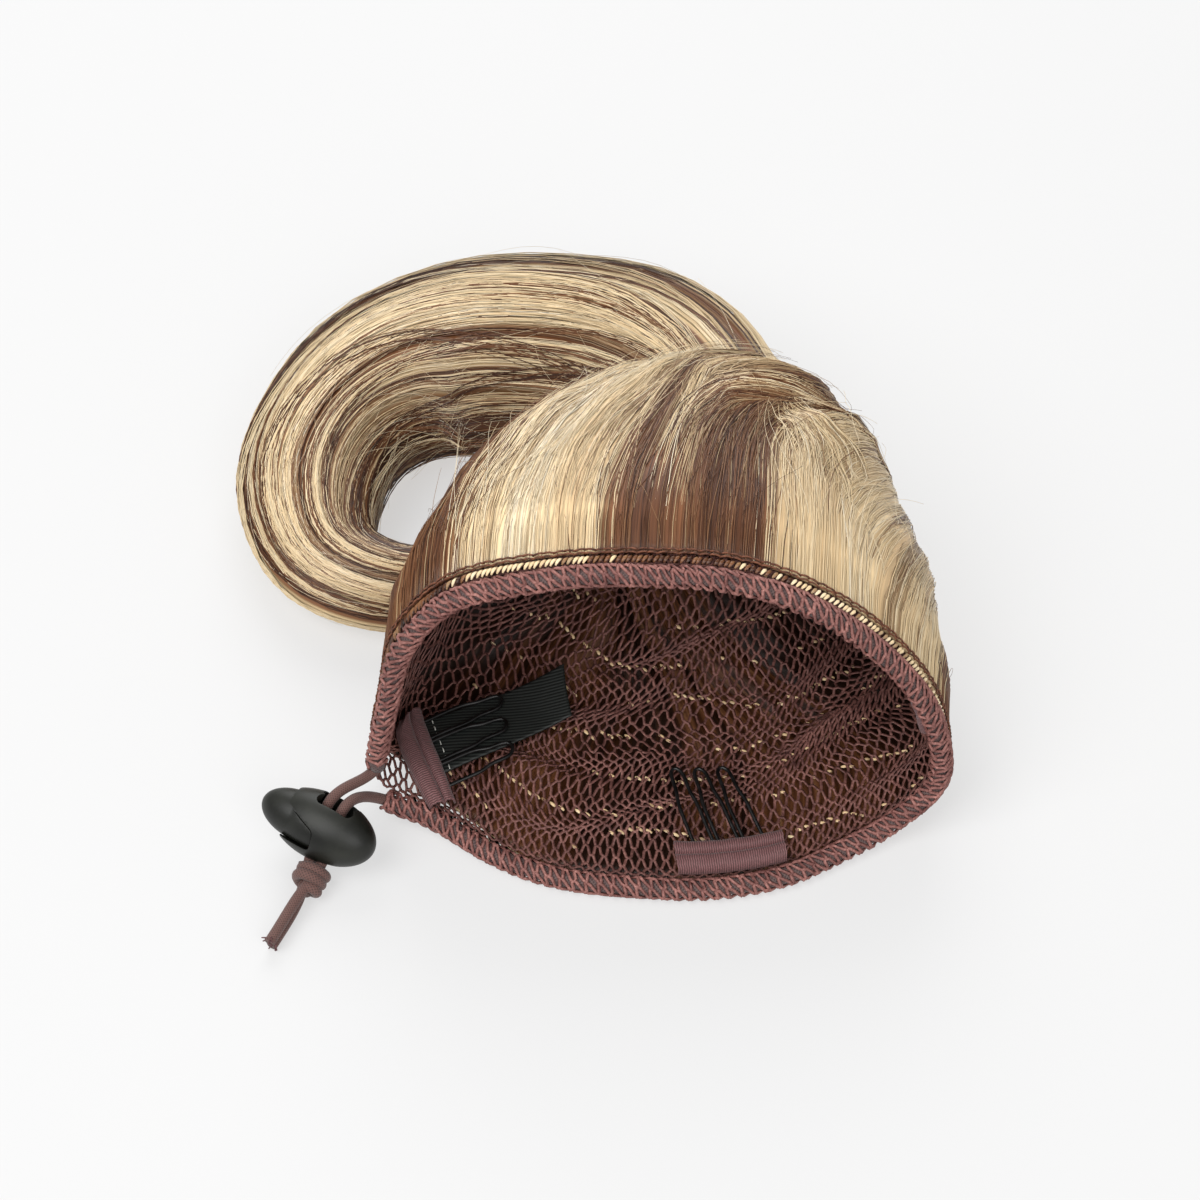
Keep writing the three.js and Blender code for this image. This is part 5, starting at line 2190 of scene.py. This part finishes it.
@dataclass
class SewnComb:
    """A wire comb in a folded tape, sewn to the inside of the net."""

    cap: CapSurface
    name: str
    turn: float
    from_rim: float
    lean: float
    rake: float
    tilt: float
    teeth: int = 3
    pitch: float = 4.9
    tooth_length: float = 20
    tooth_width: float = 3.9
    wire: float = 0.8
    fan: float = 0.0
    tape_length: float = 21.4
    tape_width: float = 6.4
    ply: float = 0.6
    seam: float = 0.35
    seam_stitches: int = 11
    seam_dip: float = 0.42
    stitch_half: float = 0.62
    stitch_sunk: float = 0.55
    stitch_radius: float = 0.17
    tape_edge: float = 0.45
    tape_thick: float = 0.42
    tape_bevel: float = 0.12

    # One side of a tooth, from its root to its tip: shares of its half width and of its length.
    TOOTH: ClassVar = ((1, 0), (0.98, 0.3), (0.95, 0.58), (0.72, 0.72), (0.66, 0.9), (0.5, 0.965), (0, 1))

    def __post_init__(self) -> None:
        """Works out how far the tape's underside, the wires and the tape's face are from the net's middle."""
        self.tape_over = self.cap.net_thick / 2 + 2 * GAP
        self.wire_over = self.tape_over + self.ply + self.wire / 2 + GAP
        self.top_over = self.tape_over + 2 * self.ply + self.wire + 2 * GAP

    def patch(self, along: Array, inward: Array | float, over: Array | float) -> Array:
        """Points on a patch of the net, in millimetres along the rim, square to it and off the net.

        Args:
            along: Millimetres along the rim.
            inward: Millimetres from the tape's middle line.
            over: Millimetres off the net, inwards.

        Returns:
            A point for each place.
        """
        turn = np.array([self.turn])
        climb = self.cap.climb_at(turn, self.from_rim)
        across, up = (vectors[0] for vectors in self.cap.tangents(turn, climb))
        per_turn = np.linalg.norm(across)
        skew = np.dot(up, across) / per_turn
        per_climb = math.sqrt(np.dot(up, up) - skew**2)
        leant, shear = math.radians(self.lean), math.tan(math.radians(self.rake))
        beyond = np.maximum(inward - self.tape_width / 2, 0)
        raked = along + shear * beyond
        x = raked * math.cos(leant) + inward * math.sin(leant)
        rise = (inward * math.cos(leant) - raked * math.sin(leant)) / per_climb
        return self.cap.lifted(self.turn + (x - rise * skew) / per_turn, climb[0] + rise, -over - self.tilt * beyond)

    def wires(self) -> MeshArrays:
        """One wire bent to and fro into the teeth, nipped in towards each tip.

        Returns:
            Its corners and faces.
        """
        half = self.tooth_width / 2
        middles = (np.arange(self.teeth) - (self.teeth - 1) / 2) * self.pitch
        outline = [(-x, y) for x, y in self.TOOTH] + [(x, y) for x, y in self.TOOTH[-2::-1]]
        paths = []
        for middle in middles:
            points = [(middle + x * half, y * self.tooth_length, 0) for x, y in outline]
            x, y, _ = Route(points).along(np.linspace(0, 1, 60)).T
            paths.append(self.patch(x * (1 + self.fan * y / self.tooth_length), y, self.wire_over))
        spine = np.linspace(middles[0] - half, middles[-1] + half, 20)
        paths.append(self.patch(spine, 0.0, self.wire_over))
        return MeshArrays.joined([strands(path[None], self.wire / 2, 8) for path in paths])

    def tape(self) -> bpy.types.Object:
        """The folded tape: a face that swells over the wire's channel and dips at its line of stitches.

        Returns:
            The object.
        """
        half = self.tape_width / 2
        edge = self.tape_edge
        thick = self.top_over - self.tape_over - edge

        def place(across: Array, up: Array) -> Array:
            """Points for shares across and along."""
            inward = (across - 0.5) * self.tape_width
            dip = np.exp(-(((inward - self.seam) / 0.5) ** 2))
            swell = np.sqrt(np.maximum(1 - (np.abs(inward) / half) ** 5, 0))
            along = (up - 0.5) * self.tape_length * (1 + 0.006 * np.sin(5 * inward))
            over = self.tape_over + edge + thick * swell * (1 - self.seam_dip * dip)
            return self.patch(along, inward, over + 0.08 * np.sin(along * 1.1 + inward))

        size = (self.tape_width, self.tape_length)
        made = grid_piece(f"comb_tape_{self.name}_face", (26, 70), size, (RibbedTape(),), place)
        finish_modifier(made, "SOLIDIFY", thickness=self.tape_thick * MM, offset=0.0)
        finish_modifier(made, "BEVEL", width=self.tape_bevel * MM, segments=2, limit_method="ANGLE")
        made.data.shade_smooth()
        return made

    def stitches(self) -> MeshArrays:
        """The line of stitches along the tape.

        Returns:
            Its corners and faces.
        """
        count = self.seam_stitches
        middle = (np.arange(count) - (count - 1) / 2) * self.tape_length / (count + 0.6)
        share = np.linspace(-1, 1, 5)
        sink = np.array([0.55, 0.38, 0.33, 0.38, 0.55])
        along = middle[:, None] + self.stitch_half * share
        over = self.top_over - self.stitch_sunk - sink
        return strands(self.patch(along, self.seam + 0.1 * share, over), self.stitch_radius, 5)

    def build(self) -> None:
        """Makes the wires, the tape and its stitches."""
        self.wires().piece(f"comb_wires_{self.name}", CoatedWire(), "comb", f"comb_{self.name}")
        dress(self.tape(), "tape", f"comb_tape_{self.name}")
        self.stitches().piece(f"comb_stitches_{self.name}", PLUM_THREAD, "tape")


@dataclass
class SewnLabel:
    """A bare woven label whose end is sewn in beside the left comb's tape, under the wires."""

    comb: SewnComb
    length: float = 31
    width: float = 13
    thick: float = 0.45
    shift: float = 1.8
    tucked: float = 0.6
    off_net: float = 0.3
    end_lift: float = 0.5
    seam: float = 1.7
    seam_stitches: int = 7
    stitch_half: float = 0.55
    stitch_radius: float = 0.12

    def face(self) -> bpy.types.Object:
        """The label, woven across its width, with cut ends and a slight lift at its free end.

        Returns:
            The object.
        """
        start = self.comb.tape_width / 2 - self.tucked
        base = self.comb.tape_over + self.off_net

        def place(across: Array, up: Array) -> Array:
            """Points for shares across and along."""
            along = (across - 0.5) * self.width + self.shift
            over = base + self.end_lift * smoothstep(0.75, 1, up) * (0.4 + 0.6 * across)
            return self.comb.patch(along, start + up * (self.length + self.tucked), over)

        made = grid_piece("label_bare", (24, 56), (self.width, self.length), (WovenLabel(),), place)
        finish_modifier(made, "SOLIDIFY", thickness=self.thick * MM, offset=0.0)
        made.data.shade_smooth()
        return made

    def stitches(self) -> MeshArrays:
        """White stitches across the end that is sewn down.

        Returns:
            Its corners and faces.
        """
        count = self.seam_stitches
        middle = (np.arange(count) - (count - 1) / 2) * (self.width - 1.5) / (count - 1) + self.shift
        along = middle[:, None] + np.linspace(-self.stitch_half, self.stitch_half, 5)
        lift = np.array([0.05, 0.22, 0.26, 0.22, 0.05])
        over = self.comb.tape_over + self.off_net + self.thick / 2 + lift
        inward = self.comb.tape_width / 2 + self.seam
        return strands(self.comb.patch(along, inward, over), self.stitch_radius, 5)

    def build(self) -> None:
        face = dress(self.face(), "label", "label")
        stitches = self.stitches().piece("label_stitches", WHITE_THREAD, "label")


# Studio


@dataclass
class Studio:
    """A white sweep, soft light and the camera at the photograph's angle. Lengths here are metres."""

    target: Triple = (-0.012, 0.040, 0.0)
    distance: float = 0.7017
    elevation: float = 48.0
    lens: float = 100.0
    sensor: float = 36.0
    lit: Triple = (-0.01, 0.04, 0.02)
    sky: float = 0.45
    lights: tuple[tuple[str, Triple, float, float], ...] = (
        ("soft_box_left", (-0.55, -0.45, 0.95), 0.8, 9.5),
        ("soft_box_front", (0.35, -0.9, 0.7), 0.7, 5.0),
        ("soft_box_back", (-0.05, 0.85, 0.75), 0.8, 7.0),
    )

    def camera(self) -> None:
        """Makes the camera."""
        data = bpy.data.cameras.new("camera")
        data.lens, data.sensor_width = self.lens, self.sensor
        data.clip_start, data.clip_end = 0.01, 20
        made = bpy.data.objects.new("camera", data)
        tilt = math.radians(self.elevation)
        back = Vector((0, -math.cos(tilt), math.sin(tilt)))
        made.location = Vector(self.target) + back * self.distance
        made.rotation_euler = (math.pi / 2 - tilt, 0, 0)
        bpy.context.scene.collection.objects.link(made)
        bpy.context.scene.camera = made

    def light(self) -> None:
        """Lights the sweep evenly, with a brighter soft box above and to the left."""
        world = bpy.data.worlds.new("studio")
        bpy.context.scene.world = world
        world.use_nodes = True
        background = world.node_tree.nodes["Background"]
        background.inputs["Color"].default_value = linear("#ffffff")
        background.inputs["Strength"].default_value = self.sky
        for name, place, size, power in self.lights:
            data = bpy.data.lights.new(name, "AREA")
            data.energy, data.size = power, size
            made = bpy.data.objects.new(name, data)
            made.location = place
            made.rotation_euler = (Vector(self.lit) - Vector(place)).to_track_quat("-Z", "Y").to_euler()
            bpy.context.scene.collection.objects.link(made)
        bpy.context.scene.view_settings.view_transform = "Standard"

    def floor(self) -> None:
        """Makes the sweep."""
        bpy.ops.object.select_all(action="DESELECT")
        bpy.ops.mesh.primitive_plane_add(size=8)
        made = bpy.context.active_object
        made.name = "floor"
        made.data.materials.append(PaleFloor().material())

    def build(self) -> None:
        """Makes the camera, the light and the floor."""
        self.camera()
        self.light()
        self.floor()


def main() -> None:
    """Builds the studio and then the hairpiece, piece by piece."""
    logging.basicConfig(level=logging.INFO, format="%(name)s: %(message)s")
    Studio().build()
    cap = CapSurface()
    lock = CordLock()
    Drawstring(cap, lock).build(*lock.build())
    panels = HairPanels()
    net = NetCap(cap)
    net.build()
    RimWeft(cap, panels, net).build()
    CapHair(cap, panels).build()
    Ponytail().build()
    left = SewnComb(cap, "left", 0.953, 10.9, -48, 12, 0.03, pitch=5.4, tooth_width=4.6, fan=0.15, tape_length=22.2)
    front = SewnComb(cap, "front", 0.734, 5.7, 0, 14, 0.02)
    right = SewnComb(cap, "right", 0.505, 5.7, 0, 0, 0.02)
    for comb in (left, front, right):
        comb.build()
    SewnLabel(left).build()


if __name__ == "__main__":
    main()
